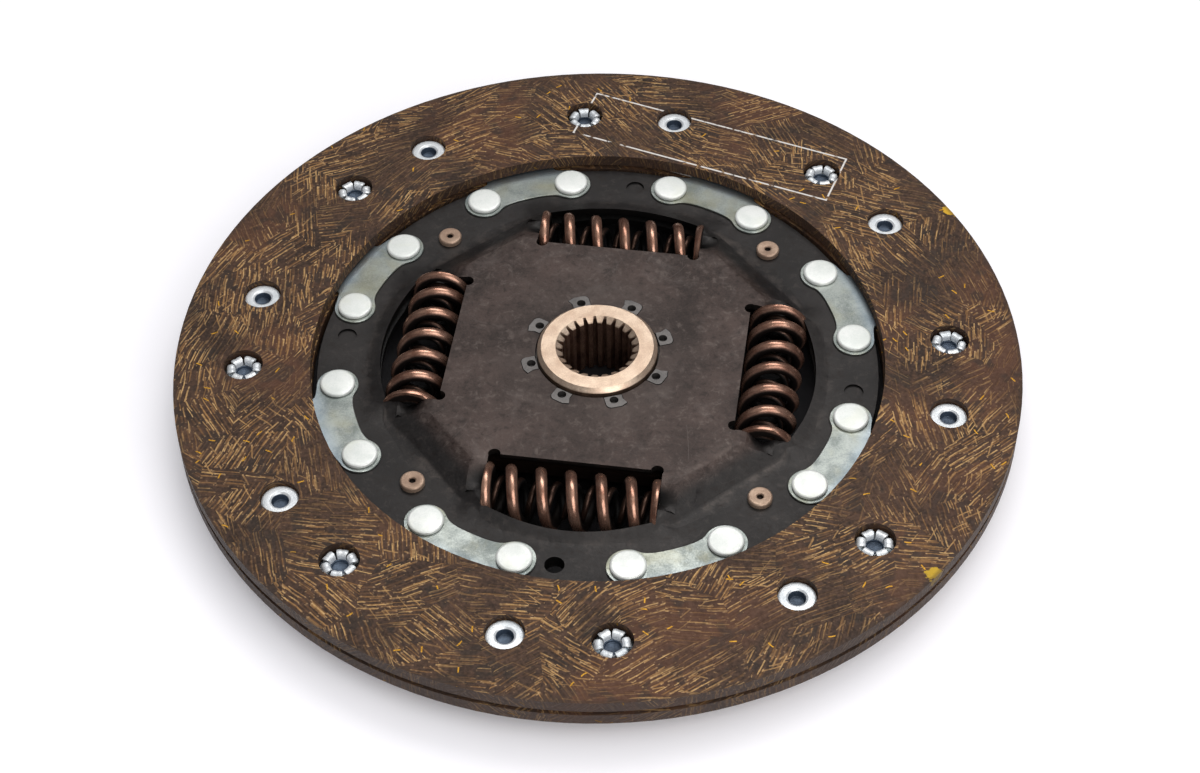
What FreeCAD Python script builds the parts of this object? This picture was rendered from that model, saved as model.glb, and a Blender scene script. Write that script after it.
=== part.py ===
import FreeCAD, Part
import math
import os
import re

import Sketcher

# Clutch disc with a torsion damper. The hub's axis is +Z and the disc stands on
# the lower end of its hub, at Z = 0. All sizes are in millimetres and degrees.
# Cuts run 1 mm past the faces that they open.

SIZES = {
    # heights of the two planes that everything is stacked from
    "meeting_height": 11.0,         # face where the two pressed plates touch
    # friction facings
    "facing_radius": 114.0,
    "facing_bore_radius": 77.5,
    "facing_thickness": 3.5,
    "cushion_travel": 1.5,          # free gap between the facings
    "facing_rivet_circle": 95.5,
    "facing_pair_angle": 83.65,     # middle of a pair of facing rivets
    "facing_pair_spread": 8.0,      # each rivet of a pair stands this far off
    "counterbore_radius": 5.15,
    "clearance_hole_radius": 5.3,
    "facing_web": 1.4,              # lining left under a rivet head
    # tubular facing rivets
    "tube_radius": 2.65,
    "tube_bore_radius": 2.1,
    "tube_floor": 0.8,
    "flat_head_radius": 4.65,
    "flat_head_thickness": 0.55,
    "petal_radius": 4.75,
    "petal_height": 2.95,           # above the middle of the cushion gap
    "petal_root_height": 0.75,
    "petal_crown_width": 1.2,
    "petal_edge_drop": 0.6,         # rim and bore edge lie below the crown
    "petal_slot_half_width": 0.72,
    "petal_count": 6,
    "rivet_clearance": 0.05,
    # cushion segments
    "segment_angle": 61.35,         # middle of the first segment
    "segment_thickness": 0.6,
    "segment_rivet_circle": 70.45,
    "segment_rivet_spread": 10.65,
    "lobe_radius": 5.7,
    "lobe_outer_side": 80.0,        # where a lobe's round edge starts and ends,
    "lobe_inner_side": 216.9,       # as directions from its rivet
    "root_lap": 2.0,                # the foot laps the blade
    "root_inset_angle": 8.4,
    "foot_waist_radius": 67.2,
    "foot_waist_angle": 5.2,
    "blade_inner_radius": 78.0,
    "blade_outer_radius": 112.5,
    "blade_half_angle": 20.9,
    "wave_length": 32.0,
    # rivets through segments and plates
    "segment_head_radius": 4.72,
    "segment_head_thickness": 1.25,
    "segment_head_crown": 0.25,
    "segment_shank_radius": 2.5,
    "closing_head_radius": 4.1,
    "closing_head_thickness": 1.1,
    "closing_head_edge": 0.6,
    # rivets through the plates alone
    "plate_rivet_circle": 63.8,
    "plate_rivet_angle": 40.5,
    "plate_rivet_radius": 3.25,
    "plate_rivet_thickness": 1.7,
    "plate_rivet_shank": 2.0,
    "plate_rivet_bore": 0.75,
    "plate_rivet_edge": 0.35,
    # pressed plates
    "plate_radius": 76.0,
    "plate_thickness": 2.0,
    "plateau_rise": 4.9,
    "plateau_side": 41.0,           # axis to the fold beside a window
    "plateau_corner": 48.4,         # axis to the fold between two windows
    "skirt_radius": 62.5,
    "skirt_corner": 57.0,
    "window_angle": 81.2,
    "window_inner": 39.4,
    "window_outer_radius": 58.9,
    "window_half_length": 22.85,
    "window_relief_radius": 1.65,
    "window_relief_inset": 1.45,    # its middle stands this far inside the end
    "tab_length": 4.6,              # lanced tab that bears on a spring's end
    "tab_inner": 42.9,
    "tab_outer": 50.3,
    "tab_drop": 2.4,
    "tab_thickness": 1.6,
    "plate_bore_radius": 16.8,
    "dimple_circle": 69.6,
    "dimple_angle": 80.4,
    "dimple_radius": 2.6,
    "dimple_depth": 0.7,
    # damper springs
    "spring_circle": 47.2,
    "outer_coil_radius": 7.7,
    "outer_wire_radius": 1.8,
    "outer_pitch": 7.4,
    "inner_coil_radius": 4.4,
    "inner_wire_radius": 1.0,
    "inner_pitch": 4.2,
    "spring_clearance": 0.15,
    "spring_end_clearance": 0.05,
    # hub
    "hub_length": 20.0,
    "hub_radius": 16.3,
    "hub_chamfer": 1.1,
    "hub_flange_radius": 52.5,
    "hub_flange_thickness": 4.0,
    "spline_count": 24,
    "spline_major_radius": 11.15,
    "spline_minor_radius": 9.45,
    "spline_angle": 93.0,
    "spline_root_half_width": 0.35,
    "spline_mouth_half_width": 0.85,
    "spline_chamfer_radius": 11.3,
    "spline_chamfer_depth": 1.2,
    # guide rings and friction stack
    "running_clearance": 0.08,
    "friction_clearance": 0.05,
    "guide_ring_radius": 26.0,
    "lug_angle": 13.4,
    "lug_reach": 20.8,
    "lug_half_width": 2.4,
    "lug_inset": 0.5,               # the tabs start behind the ring's bore
    "lug_tip": 0.8,
    "lug_round": 1.44,              # rounding of the other outer corner
    "lug_stand": 0.15,              # above the plate's face
    "lug_hole_circle": 18.3,
    "lug_hole_radius": 1.2,
    "lug_clearance": 0.15,
    "bush_wall": 1.5,
    "bush_collar_radius": 19.9,
    "bush_collar_thickness": 0.5,
    "friction_washer_radius": 30.0,
    "friction_washer_thickness": 0.75,
    "washer_bore_radius": 18.4,
    "support_washer_radius": 34.0,
    "support_washer_thickness": 0.8,
    "disc_spring_thickness": 0.6,
    "disc_spring_bore_radius": 20.4,
}

TURN = 360.0
SEGMENTS = 8
WINDOWS = 4
SEGMENT_STEP = TURN / SEGMENTS
WINDOW_STEP = TURN / WINDOWS
PIERCED_DIMPLE = 2                  # the only one of the four that is a hole
Z_AXIS = FreeCAD.Vector(0, 0, 1)

doc = FreeCAD.newDocument("clutch_disc")
sheet = doc.addObject("Spreadsheet::Sheet", "Sizes")
for row, (alias, size) in enumerate(SIZES.items(), start=1):
    sheet.set(f"A{row}", alias)
    sheet.set(f"B{row}", str(size))
    sheet.setAlias(f"B{row}", alias)
doc.recompute()

# heights and radii that follow from the sizes, as formulas
FLANGE_TOP = "(meeting_height + plate_thickness)"
PLATEAU_TOP = f"({FLANGE_TOP} + plateau_rise)"
PLATEAU_INSIDE = "(meeting_height + plateau_rise)"
COUNTER_INSIDE = "(meeting_height - plateau_rise)"
COUNTER_FLANGE_BOTTOM = "(meeting_height - plate_thickness)"
COUNTER_BOTTOM = f"({COUNTER_FLANGE_BOTTOM} - plateau_rise)"
CUSHION_MIDDLE = f"({FLANGE_TOP} + segment_thickness / 2)"
UPPER_FACING_BOTTOM = f"({CUSHION_MIDDLE} + cushion_travel / 2)"
LOWER_FACING_TOP = f"({CUSHION_MIDDLE} - cushion_travel / 2)"
LOWER_FACING_BOTTOM = f"({LOWER_FACING_TOP} - facing_thickness)"
HUB_FLANGE_TOP = "(meeting_height + hub_flange_thickness / 2)"
HUB_FLANGE_BOTTOM = "(meeting_height - hub_flange_thickness / 2)"
OUTER_SPRING_RADIUS = "(outer_coil_radius + outer_wire_radius)"
WAVE_RISE = "(cushion_travel / 2 - segment_thickness / 2)"
WAVE_RADIUS = f"(wave_length * wave_length / (32 * {WAVE_RISE}) + {WAVE_RISE} / 2)"
GUIDE_BORE = "(hub_radius + running_clearance)"


def bound(formula):
    """The formula with every size written as a cell of the sheet."""
    def cell(found):
        word = found.group(0)
        return f"Sizes.{word}" if word in SIZES else word
    return re.sub(r"[a-z_]+", cell, str(formula))


def value(formula):
    found = sheet.evalExpression(bound(formula))
    return float(getattr(found, "Value", found))


def bind(thing, **formulas):
    for name, formula in formulas.items():
        thing.setExpression(name.replace("__", "."), bound(formula))


def new_body(label):
    body = doc.addObject("PartDesign::Body", label)
    body.Label = label
    return body


def turn_body(body, angle):
    body.Placement = FreeCAD.Placement(FreeCAD.Vector(), FreeCAD.Rotation(Z_AXIS, value(angle)))
    body.setExpression("Placement.Rotation.Angle", bound(angle))


def sketch_on(body, plane, height="0"):
    """An empty sketch on one of the body's origin planes, shifted along its normal."""
    sketch = body.newObject("Sketcher::SketchObject", body.Label + "_sketch")
    origin = [f for f in body.Origin.OriginFeatures if f.Role == plane][0]
    sketch.AttachmentSupport = [(origin, "")]
    sketch.MapMode = "FlatFace"
    sketch.AttachmentOffset = FreeCAD.Placement(FreeCAD.Vector(0, 0, value(height)), FreeCAD.Rotation())
    sketch.setExpression("AttachmentOffset.Base.z", bound(height))
    return sketch


def set_number(sketch, constraint, formula):
    number = sketch.addConstraint(constraint)
    sketch.setExpression(f"Constraints[{number}]", bound(formula))


def fix_point(sketch, edge, end, x, y):
    for kind, formula, axis in (("DistanceX", x, -2), ("DistanceY", y, -1)):
        size = value(formula)
        if formula == "0":
            sketch.addConstraint(Sketcher.Constraint("PointOnObject", edge, end, axis))
        else:
            set_number(sketch, Sketcher.Constraint(kind, -1, 1, edge, end, size), formula)


def circle(sketch, x, y, radius):
    centre = FreeCAD.Vector(value(x), value(y), 0)
    edge = sketch.addGeometry(Part.Circle(centre, Z_AXIS, value(radius)), False)
    set_number(sketch, Sketcher.Constraint("Radius", edge, value(radius)), radius)
    fix_point(sketch, edge, 3, x, y)


def outline(sketch, corners, arcs=None):
    """A closed outline through corners given as formulas. arcs maps an edge's number
    to its radius, and to -1 where the edge bends to the right of its travel."""
    arcs = arcs or {}
    points = [FreeCAD.Vector(value(x), value(y), 0) for x, y in corners]
    ends = []
    for number, start in enumerate(points):
        stop = points[(number + 1) % len(points)]
        if number not in arcs:
            edge = sketch.addGeometry(Part.LineSegment(start, stop), False)
            ends.append((edge, 1, 2))
            continue
        radius, side = arcs[number]
        size = value(radius)
        half = (stop - start) * 0.5
        left = FreeCAD.Vector(-half.y, half.x, 0).normalize()
        centre = start + half + left * (side * math.sqrt(size * size - half.Length ** 2))
        first, last = (start, stop) if side > 0 else (stop, start)
        angles = [math.atan2(p.y - centre.y, p.x - centre.x) for p in (first, last)]
        ring = Part.Circle(centre, Z_AXIS, size)
        edge = sketch.addGeometry(Part.ArcOfCircle(ring, angles[0], angles[1]), False)
        ends.append((edge, 1, 2) if side > 0 else (edge, 2, 1))
    for number, (x, y) in enumerate(corners):
        edge, start, _ = ends[number]
        before, _, stop = ends[number - 1]
        sketch.addConstraint(Sketcher.Constraint("Coincident", before, stop, edge, start))
        fix_point(sketch, edge, start, x, y)
    for number, (radius, _) in arcs.items():
        edge = ends[number][0]
        set_number(sketch, Sketcher.Constraint("Radius", edge, value(radius)), radius)


def polar(radius, angle):
    return f"{radius} * cos({angle})", f"{radius} * sin({angle})"


def pad(body, sketch, height):
    feature = body.newObject("PartDesign::Pad", body.Label + "_pad")
    feature.Profile = sketch
    bind(feature, Length=height)
    return feature


def pocket(body, sketch, depth, midplane=False):
    """Cuts from the sketch towards the lower side of its plane."""
    feature = body.newObject("PartDesign::Pocket", body.Label + "_pocket")
    feature.Profile = sketch
    feature.SideType = "Symmetric" if midplane else "One side"
    bind(feature, Length=depth)
    return feature


def revolve(body, sketch):
    feature = body.newObject("PartDesign::Revolution", body.Label + "_turned")
    feature.Profile = sketch
    feature.ReferenceAxis = (sketch, ["V_Axis"])
    feature.Angle = TURN
    return feature


def repeat(body, features, count):
    """Repeats the features evenly round the hub's axis."""
    pattern = body.newObject("PartDesign::PolarPattern", body.Label + "_pattern")
    pattern.Originals = features
    axis = [f for f in body.Origin.OriginFeatures if f.Role == "Z_Axis"][0]
    pattern.Axis = (axis, [""])
    pattern.Angle = TURN
    pattern.Occurrences = count
    body.Tip = pattern
    return pattern


def turned_ring(label, corners):
    """A ring turned about the hub's axis from its section."""
    body = new_body(label)
    sketch = sketch_on(body, "XZ_Plane")
    outline(sketch, corners)
    revolve(body, sketch)
    return body


def box_section(inner, outer, low, high):
    return [(inner, low), (outer, low), (outer, high), (inner, high)]


def facing(label, bottom, own_angle, other_angle, head_up):
    """A lining ring, counterbored for its own rivets and cleared for the other's."""
    body = new_body(label)
    ring = sketch_on(body, "XY_Plane", bottom)
    circle(ring, "0", "0", "facing_radius")
    circle(ring, "0", "0", "facing_bore_radius")
    pad(body, ring, "facing_thickness")
    top = f"({bottom} + facing_thickness)"
    own = polar("facing_rivet_circle", own_angle)
    cuts = []
    shank = sketch_on(body, "XY_Plane", top)
    circle(shank, *own, "(tube_radius + rivet_clearance)")
    cuts.append(pocket(body, shank, "facing_thickness"))
    sink_top = top if head_up else f"({top} - facing_web)"
    sink = sketch_on(body, "XY_Plane", sink_top)
    circle(sink, *own, "counterbore_radius")
    cuts.append(pocket(body, sink, "(facing_thickness - facing_web)"))
    clear = sketch_on(body, "XY_Plane", top)
    circle(clear, *polar("facing_rivet_circle", other_angle), "clearance_hole_radius")
    cuts.append(pocket(body, clear, "facing_thickness"))
    repeat(body, cuts, SEGMENTS)
    return body


def cushion_segment(number):
    """A spring steel segment: a flat foot with two lobes and a waved blade."""
    body = new_body(f"cushion_segment_{number}")
    half_waves = 3
    lower, upper = [], []
    for step in range(-half_waves, half_waves + 1):
        along = f"{step} * wave_length / 2" if step else "0"
        lower.append((along, f"({CUSHION_MIDDLE} - segment_thickness / 2)"))
        upper.append((along, f"({CUSHION_MIDDLE} + segment_thickness / 2)"))
    arcs = {}
    for edge in range(2 * half_waves):
        bend = 1 if edge % 2 else -1
        arcs[edge] = (WAVE_RADIUS, bend)
        arcs[4 * half_waves - edge] = (WAVE_RADIUS, -bend)
    wave = sketch_on(body, "YZ_Plane", "blade_inner_radius * cos(blade_half_angle)")
    outline(wave, lower + upper[::-1], arcs)
    pad(body, wave, "(blade_outer_radius - blade_inner_radius * cos(blade_half_angle))")
    trim = sketch_on(body, "XY_Plane", f"({UPPER_FACING_BOTTOM} + 1)")
    near_x, near_y = polar("blade_inner_radius", "blade_half_angle")
    far_x, far_y = polar("blade_outer_radius", "blade_half_angle")
    reach = "(2 * blade_outer_radius)"
    outline(
        trim,
        [(near_x, f"-({near_y})"), (far_x, f"-({far_y})"), (far_x, far_y), (near_x, near_y)],
        {1: ("blade_outer_radius", 1), 3: ("blade_inner_radius", -1)},
    )
    outline(
        trim,
        [(f"-{reach}", f"-{reach}"), (reach, f"-{reach}"), (reach, reach), (f"-{reach}", reach)],
    )
    pocket(body, trim, "(cushion_travel + 2)")
    lobe_x, lobe_y = polar("segment_rivet_circle", "segment_rivet_spread")
    waist_x, waist_y = polar("foot_waist_radius", "foot_waist_angle")
    root_x, root_y = polar("(blade_inner_radius + root_lap)", "(blade_half_angle - root_inset_angle)")
    outer_x, outer_y = polar("lobe_radius", "lobe_outer_side")
    inner_x, inner_y = polar("lobe_radius", "lobe_inner_side")
    foot = sketch_on(body, "XY_Plane", FLANGE_TOP)
    outline(
        foot,
        [
            (root_x, f"-({root_y})"),
            (root_x, root_y),
            (f"({lobe_x} + {outer_x})", f"({lobe_y} + {outer_y})"),
            (f"({lobe_x} + {inner_x})", f"({lobe_y} + {inner_y})"),
            (waist_x, waist_y),
            (waist_x, f"-({waist_y})"),
            (f"({lobe_x} + {inner_x})", f"-({lobe_y} + {inner_y})"),
            (f"({lobe_x} + {outer_x})", f"-({lobe_y} + {outer_y})"),
        ],
        {
            0: ("(blade_inner_radius + root_lap)", 1),
            2: ("lobe_radius", 1),
            4: ("foot_waist_radius", -1),
            6: ("lobe_radius", 1),
        },
    )
    pad(body, foot, "segment_thickness")
    holes = sketch_on(body, "XY_Plane", f"({UPPER_FACING_BOTTOM} + 1)")
    pair = "facing_pair_angle - segment_angle"
    for angle in (f"({pair} - facing_pair_spread)", f"({pair} + facing_pair_spread - {SEGMENT_STEP})"):
        circle(holes, *polar("facing_rivet_circle", angle), "(tube_radius + rivet_clearance)")
    for side in ("", "-"):
        circle(holes, lobe_x, f"{side}({lobe_y})", "(segment_shank_radius + rivet_clearance)")
    pocket(body, holes, "(cushion_travel + 2)")
    turn_body(body, f"(segment_angle - {SEGMENT_STEP * (number - 1)})")
    return body


def octagon(side, corner, radius=None):
    """Corners of a square of half-width side, cut at distance corner on its diagonals.
    With a radius, the four sides are arcs round the axis instead."""
    if radius is None:
        far, near = side, f"({corner} * sqrt(2) - {side})"
    else:
        half_chord = f"sqrt({radius} * {radius} - {corner} * {corner})"
        far = f"(({corner} + {half_chord}) / sqrt(2))"
        near = f"(({corner} - {half_chord}) / sqrt(2))"
    return [
        (far, f"-{near}"), (far, near), (near, far), (f"-{near}", far),
        (f"-{far}", near), (f"-{far}", f"-{near}"), (f"-{near}", f"-{far}"), (near, f"-{far}"),
    ]


def pressed_shell(label):
    """The form that both plates share: a dished plateau with windows on a flat flange."""
    body = new_body(label)
    flange = sketch_on(body, "XY_Plane", "meeting_height")
    circle(flange, "0", "0", "plate_radius")
    pad(body, flange, "plate_thickness")
    side_slope = "atan(plateau_rise / (skirt_radius - plateau_side))"
    corner_slope = "atan(plateau_rise / (skirt_corner - plateau_corner))"
    side_shift = f"(plate_thickness * tan({side_slope} / 2))"
    corner_shift = f"(plate_thickness * tan({corner_slope} / 2))"
    levels = (
        ("PartDesign::AdditiveLoft", FLANGE_TOP, PLATEAU_TOP, "0", "0"),
        ("PartDesign::SubtractiveLoft", "meeting_height", PLATEAU_INSIDE, side_shift, corner_shift),
    )
    for kind, low, high, side_less, corner_less in levels:
        skirt = sketch_on(body, "XY_Plane", low)
        radius = f"(skirt_radius - {side_less})"
        outline(
            skirt,
            octagon("plateau_side", f"(skirt_corner - {corner_less})", radius),
            {edge: (radius, 1) for edge in (0, 2, 4, 6)},
        )
        plateau = sketch_on(body, "XY_Plane", high)
        outline(plateau, octagon(f"(plateau_side - {side_less})", f"(plateau_corner - {corner_less})"))
        loft = body.newObject(kind, label + "_dish")
        loft.Profile = skirt
        loft.Sections = [plateau]
        loft.Ruled = True
    cuts = []
    top = f"({PLATEAU_TOP} + 1)"
    depth = "(plateau_rise + plate_thickness + 2)"
    tab_far = "(window_half_length + tab_length)"
    for low, high in (("window_half_length", tab_far), (f"-{tab_far}", "-window_half_length")):
        drop = sketch_on(body, "XY_Plane", top)
        outline(drop, box_section("tab_inner", "tab_outer", low, high))
        cuts.append(pocket(body, drop, "(tab_drop + 1)"))
        tab = sketch_on(body, "XY_Plane", f"({PLATEAU_TOP} - tab_drop - tab_thickness)")
        outline(tab, box_section("tab_inner", "tab_outer", low, high))
        cuts.append(pad(body, tab, "tab_thickness"))
    edge_x = "sqrt(window_outer_radius * window_outer_radius - window_half_length * window_half_length)"
    window = sketch_on(body, "XY_Plane", top)
    outline(
        window,
        [
            ("window_inner", "-window_half_length"),
            (edge_x, "-window_half_length"),
            (edge_x, "window_half_length"),
            ("window_inner", "window_half_length"),
        ],
        {1: ("window_outer_radius", 1)},
    )
    cuts.append(pocket(body, window, depth))
    for side in ("", "-"):
        relief = sketch_on(body, "XY_Plane", top)
        along = f"{side}(window_half_length - window_relief_inset)"
        circle(relief, "window_inner", along, "window_relief_radius")
        cuts.append(pocket(body, relief, depth))
    coil = sketch_on(body, "XZ_Plane")
    circle(coil, "spring_circle", "meeting_height", f"({OUTER_SPRING_RADIUS} + spring_clearance)")
    cuts.append(pocket(body, coil, "(2 * window_half_length)", midplane=True))
    repeat(body, cuts, WINDOWS)
    rivet_holes = []
    for spread in ("segment_rivet_spread", "-segment_rivet_spread"):
        hole = sketch_on(body, "XY_Plane", FLANGE_TOP)
        angle = f"(segment_angle - window_angle + {spread})"
        circle(hole, *polar("segment_rivet_circle", angle), "(segment_shank_radius + rivet_clearance)")
        rivet_holes.append(pocket(body, hole, "plate_thickness"))
    repeat(body, rivet_holes, SEGMENTS)
    hole = sketch_on(body, "XY_Plane", FLANGE_TOP)
    angle = "(plate_rivet_angle - window_angle)"
    circle(hole, *polar("plate_rivet_circle", angle), "(plate_rivet_shank + rivet_clearance)")
    repeat(body, [pocket(body, hole, "plate_thickness")], WINDOWS)
    turn_body(body, "window_angle")
    return body


def lug_outline(sketch, grow="0"):
    """A tab of the guide ring: one outer corner is drawn out to a point."""
    side = f"(lug_half_width + {grow})"
    reach = f"(lug_reach + {grow})"
    start = "(hub_radius - 1)" if grow != "0" else f"({GUIDE_BORE} + lug_inset)"
    outline(
        sketch,
        [
            (start, f"-{side}"),
            (f"({reach} - lug_round)", f"-{side}"),
            (reach, f"-({side} - lug_round)"),
            (reach, f"({side} - lug_tip)"),
            (f"({reach} - lug_tip)", f"({side} + lug_tip)"),
            (f"({reach} - 3 * lug_tip)", side),
            (start, side),
        ],
        {1: ("lug_round", 1)},
    )


def cylinder(label, radius, low, high, centre=("0", "0")):
    solid = doc.addObject("Part::Cylinder", label)
    bind(solid, Radius=radius, Height=f"({high} - {low})")
    bind(solid, Placement__Base__x=centre[0], Placement__Base__y=centre[1], Placement__Base__z=low)
    return solid


def cut(label, base, tools):
    group = doc.addObject("Part::MultiFuse", label + "_tools")
    group.Shapes = tools
    result = doc.addObject("Part::Cut", label)
    result.Label = label
    result.Base = base
    result.Tool = group
    return result


def drive_plate():
    """The upper plate: notched round its bore for the guide ring's tabs."""
    shell = pressed_shell("drive_plate_shell")
    notch = new_body("lug_notches")
    sketch = sketch_on(notch, "XY_Plane", PLATEAU_INSIDE + " - 1")
    lug_outline(sketch, "lug_clearance")
    repeat(notch, [pad(notch, sketch, "(plate_thickness + 2)")], SEGMENTS)
    turn_body(notch, "lug_angle")
    tools = [notch, cylinder("plate_bore", "plate_bore_radius", "meeting_height", f"({PLATEAU_TOP} + 1)")]
    for number in range(WINDOWS):
        centre = polar("dimple_circle", f"(dimple_angle + {WINDOW_STEP * number})")
        low = "(meeting_height - 1)" if number == PIERCED_DIMPLE else f"({FLANGE_TOP} - dimple_depth)"
        name = f"dimple_{number + 1}"
        tools.append(cylinder(name, "dimple_radius", low, f"({FLANGE_TOP} + 1)", centre))
    return cut("drive_plate", shell, tools)


def counter_plate():
    """The lower plate: the same pressing turned over, with a plain bore."""
    shell = pressed_shell("counter_plate_shell")
    mirror = doc.addObject("Part::Mirroring", "counter_plate_mirror")
    mirror.Source = shell
    mirror.Normal = Z_AXIS
    mirror.Base = FreeCAD.Vector(0, 0, value("meeting_height"))
    mirror.setExpression("Base.z", bound("meeting_height"))
    bore = cylinder(
        "counter_bore", f"({GUIDE_BORE} + bush_wall)", f"({COUNTER_BOTTOM} - 1)", "meeting_height")
    through = cylinder(
        "counter_hole", "dimple_radius", f"({COUNTER_FLANGE_BOTTOM} - 1)", "(meeting_height + 1)",
        polar("dimple_circle", f"(dimple_angle + {PIERCED_DIMPLE * WINDOW_STEP})"))
    return cut("counter_plate", mirror, [bore, through])


def guide_ring():
    """Moulded ring that centres the drive plate on the hub, with tabs through its bore."""
    body = new_body("guide_ring")
    sketch = sketch_on(body, "XZ_Plane")
    low = f"({HUB_FLANGE_TOP} + friction_clearance)"
    outline(sketch, box_section(GUIDE_BORE, "guide_ring_radius", low, PLATEAU_INSIDE))
    revolve(body, sketch)
    lug = sketch_on(body, "XY_Plane", low)
    lug_outline(lug)
    lugs = pad(body, lug, f"({PLATEAU_TOP} + lug_stand - {low})")
    hole = sketch_on(body, "XY_Plane", f"({PLATEAU_TOP} + 1)")
    circle(hole, "lug_hole_circle", "0", "lug_hole_radius")
    holes = pocket(body, hole, "(plate_thickness + 1)")
    repeat(body, [lugs, holes], SEGMENTS)
    turn_body(body, "lug_angle")
    return body


def hub():
    """Splined hub forged in one with its four-armed flange."""
    body = new_body("hub")
    sketch = sketch_on(body, "XZ_Plane")
    face = "(hub_radius - hub_chamfer)"
    outline(
        sketch,
        [
            ("spline_minor_radius", "0"),
            (face, "0"),
            ("hub_radius", "hub_chamfer"),
            ("hub_radius", HUB_FLANGE_BOTTOM),
            ("hub_flange_radius", HUB_FLANGE_BOTTOM),
            ("hub_flange_radius", HUB_FLANGE_TOP),
            ("hub_radius", HUB_FLANGE_TOP),
            ("hub_radius", "(hub_length - hub_chamfer)"),
            (face, "hub_length"),
            ("spline_minor_radius", "hub_length"),
        ],
    )
    revolve(body, sketch)
    notch = sketch_on(body, "XY_Plane", f"({HUB_FLANGE_TOP} + 1)")
    floor = f"(spring_circle - {OUTER_SPRING_RADIUS} - spring_clearance)"
    far = "(hub_flange_radius + 1)"
    outline(notch, box_section(floor, far, "-window_half_length", "window_half_length"))
    arms = pocket(body, notch, "(hub_flange_thickness + 2)")
    repeat(body, [arms], WINDOWS)
    space = sketch_on(body, "XY_Plane", "(hub_length + 1)")
    turn = "(spline_angle - window_angle)"
    corners = []
    mouth = "(spline_minor_radius - 1)"
    for radius, half, side in (
        (mouth, "spline_mouth_half_width", "-"), ("spline_major_radius", "spline_root_half_width", "-"),
        ("spline_major_radius", "spline_root_half_width", ""), (mouth, "spline_mouth_half_width", ""),
    ):
        corners.append((
            f"({radius} * cos({turn}) - {side}{half} * sin({turn}))",
            f"({radius} * sin({turn}) + {side}{half} * cos({turn}))",
        ))
    outline(space, corners)
    repeat(body, [pocket(body, space, "(hub_length + 2)")], SIZES["spline_count"])
    for high in (True, False):
        end = "hub_length" if high else "0"
        out = "(hub_length + 1)" if high else "-1"
        deep = "(hub_length - spline_chamfer_depth)" if high else "spline_chamfer_depth"
        entry = sketch_on(body, "XZ_Plane")
        outline(
            entry,
            [
                ("(spline_minor_radius - 1)", deep), ("spline_minor_radius", deep),
                ("spline_chamfer_radius", end), ("spline_chamfer_radius", out),
                ("(spline_minor_radius - 1)", out),
            ],
        )
        groove = body.newObject("PartDesign::Groove", "hub_entry")
        groove.Profile = entry
        groove.ReferenceAxis = (entry, ["V_Axis"])
        groove.Angle = TURN
    turn_body(body, "window_angle")
    return body


def coil_spring(label, coil_radius, wire_radius, pitch, left_handed, angle):
    """A compression spring with ground ends, lying along the disc's tangent at an angle."""
    half = "(window_half_length - spring_end_clearance)"
    height = f"(2 * {half} + 2 * {wire_radius})"
    helix = doc.addObject("Part::Helix", label + "_helix")
    helix.LocalCoord = 1 if left_handed else 0
    bind(helix, Radius=coil_radius, Pitch=pitch, Height=height)
    bind(helix, Placement__Base__z=f"-{height} / 2")
    wire = doc.addObject("Part::Circle", label + "_wire")
    wire.Placement.Rotation = FreeCAD.Rotation(FreeCAD.Vector(1, 0, 0), 90)
    bind(wire, Radius=wire_radius)
    bind(wire, Placement__Base__x=coil_radius, Placement__Base__z=f"-{height} / 2")
    sweep = doc.addObject("Part::Sweep", label + "_sweep")
    sweep.Sections = [wire]
    sweep.Spine = (helix, ["Edge1"])
    sweep.Solid = True
    sweep.Frenet = True
    length = doc.addObject("Part::Cylinder", label + "_length")
    bind(length, Radius=f"({coil_radius} + 2 * {wire_radius})", Height=f"(2 * {half})")
    bind(length, Placement__Base__z=f"-{half}")
    spring = doc.addObject("Part::Common", label)
    spring.Label = label
    spring.Base = sweep
    spring.Tool = length
    along = FreeCAD.Rotation(Z_AXIS, value(angle)) * FreeCAD.Rotation(FreeCAD.Vector(1, 0, 0), -90)
    spring.Placement = FreeCAD.Placement(FreeCAD.Vector(), along)
    x, y = polar("spring_circle", angle)
    bind(spring, Placement__Base__x=x, Placement__Base__y=y, Placement__Base__z="meeting_height")
    return spring


def rivet(label, corners):
    """One rivet turned about its own axis. Copies of it are linked into a group."""
    body = new_body(label)
    sketch = sketch_on(body, "XZ_Plane")
    outline(sketch, corners)
    revolve(body, sketch)
    return body


def facing_rivet():
    """A tubular rivet: flat head below, and an end split and rolled into petals above.
    Its zero height is the middle of the cushion gap."""
    seat = "(cushion_travel / 2 + facing_web)"
    bore = "tube_bore_radius"
    body = rivet(
        "facing_rivet",
        [
            ("0", "-(tube_floor / 2)"), (bore, "-(tube_floor / 2)"),
            (bore, f"-({seat} + flat_head_thickness)"),
            ("flat_head_radius", f"-({seat} + flat_head_thickness)"),
            ("flat_head_radius", f"-{seat}"), ("tube_radius", f"-{seat}"),
            ("tube_radius", "petal_root_height"),
            ("petal_radius", "(petal_height - petal_edge_drop)"),
            ("(petal_radius - petal_crown_width)", "petal_height"),
            (bore, "(petal_height - petal_edge_drop)"),
            (bore, "(tube_floor / 2)"), ("0", "(tube_floor / 2)"),
        ],
    )
    slot = sketch_on(body, "XY_Plane", "(petal_height + 1)")
    outline(
        slot,
        [
            ("((tube_bore_radius + tube_radius) / 2)", "0"),
            ("(petal_radius + 1)", "-petal_slot_half_width"),
            ("(petal_radius + 1)", "petal_slot_half_width"),
        ],
    )
    repeat(body, [pocket(body, slot, "(petal_height + 1 - petal_root_height)")], SIZES["petal_count"])
    return body


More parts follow.
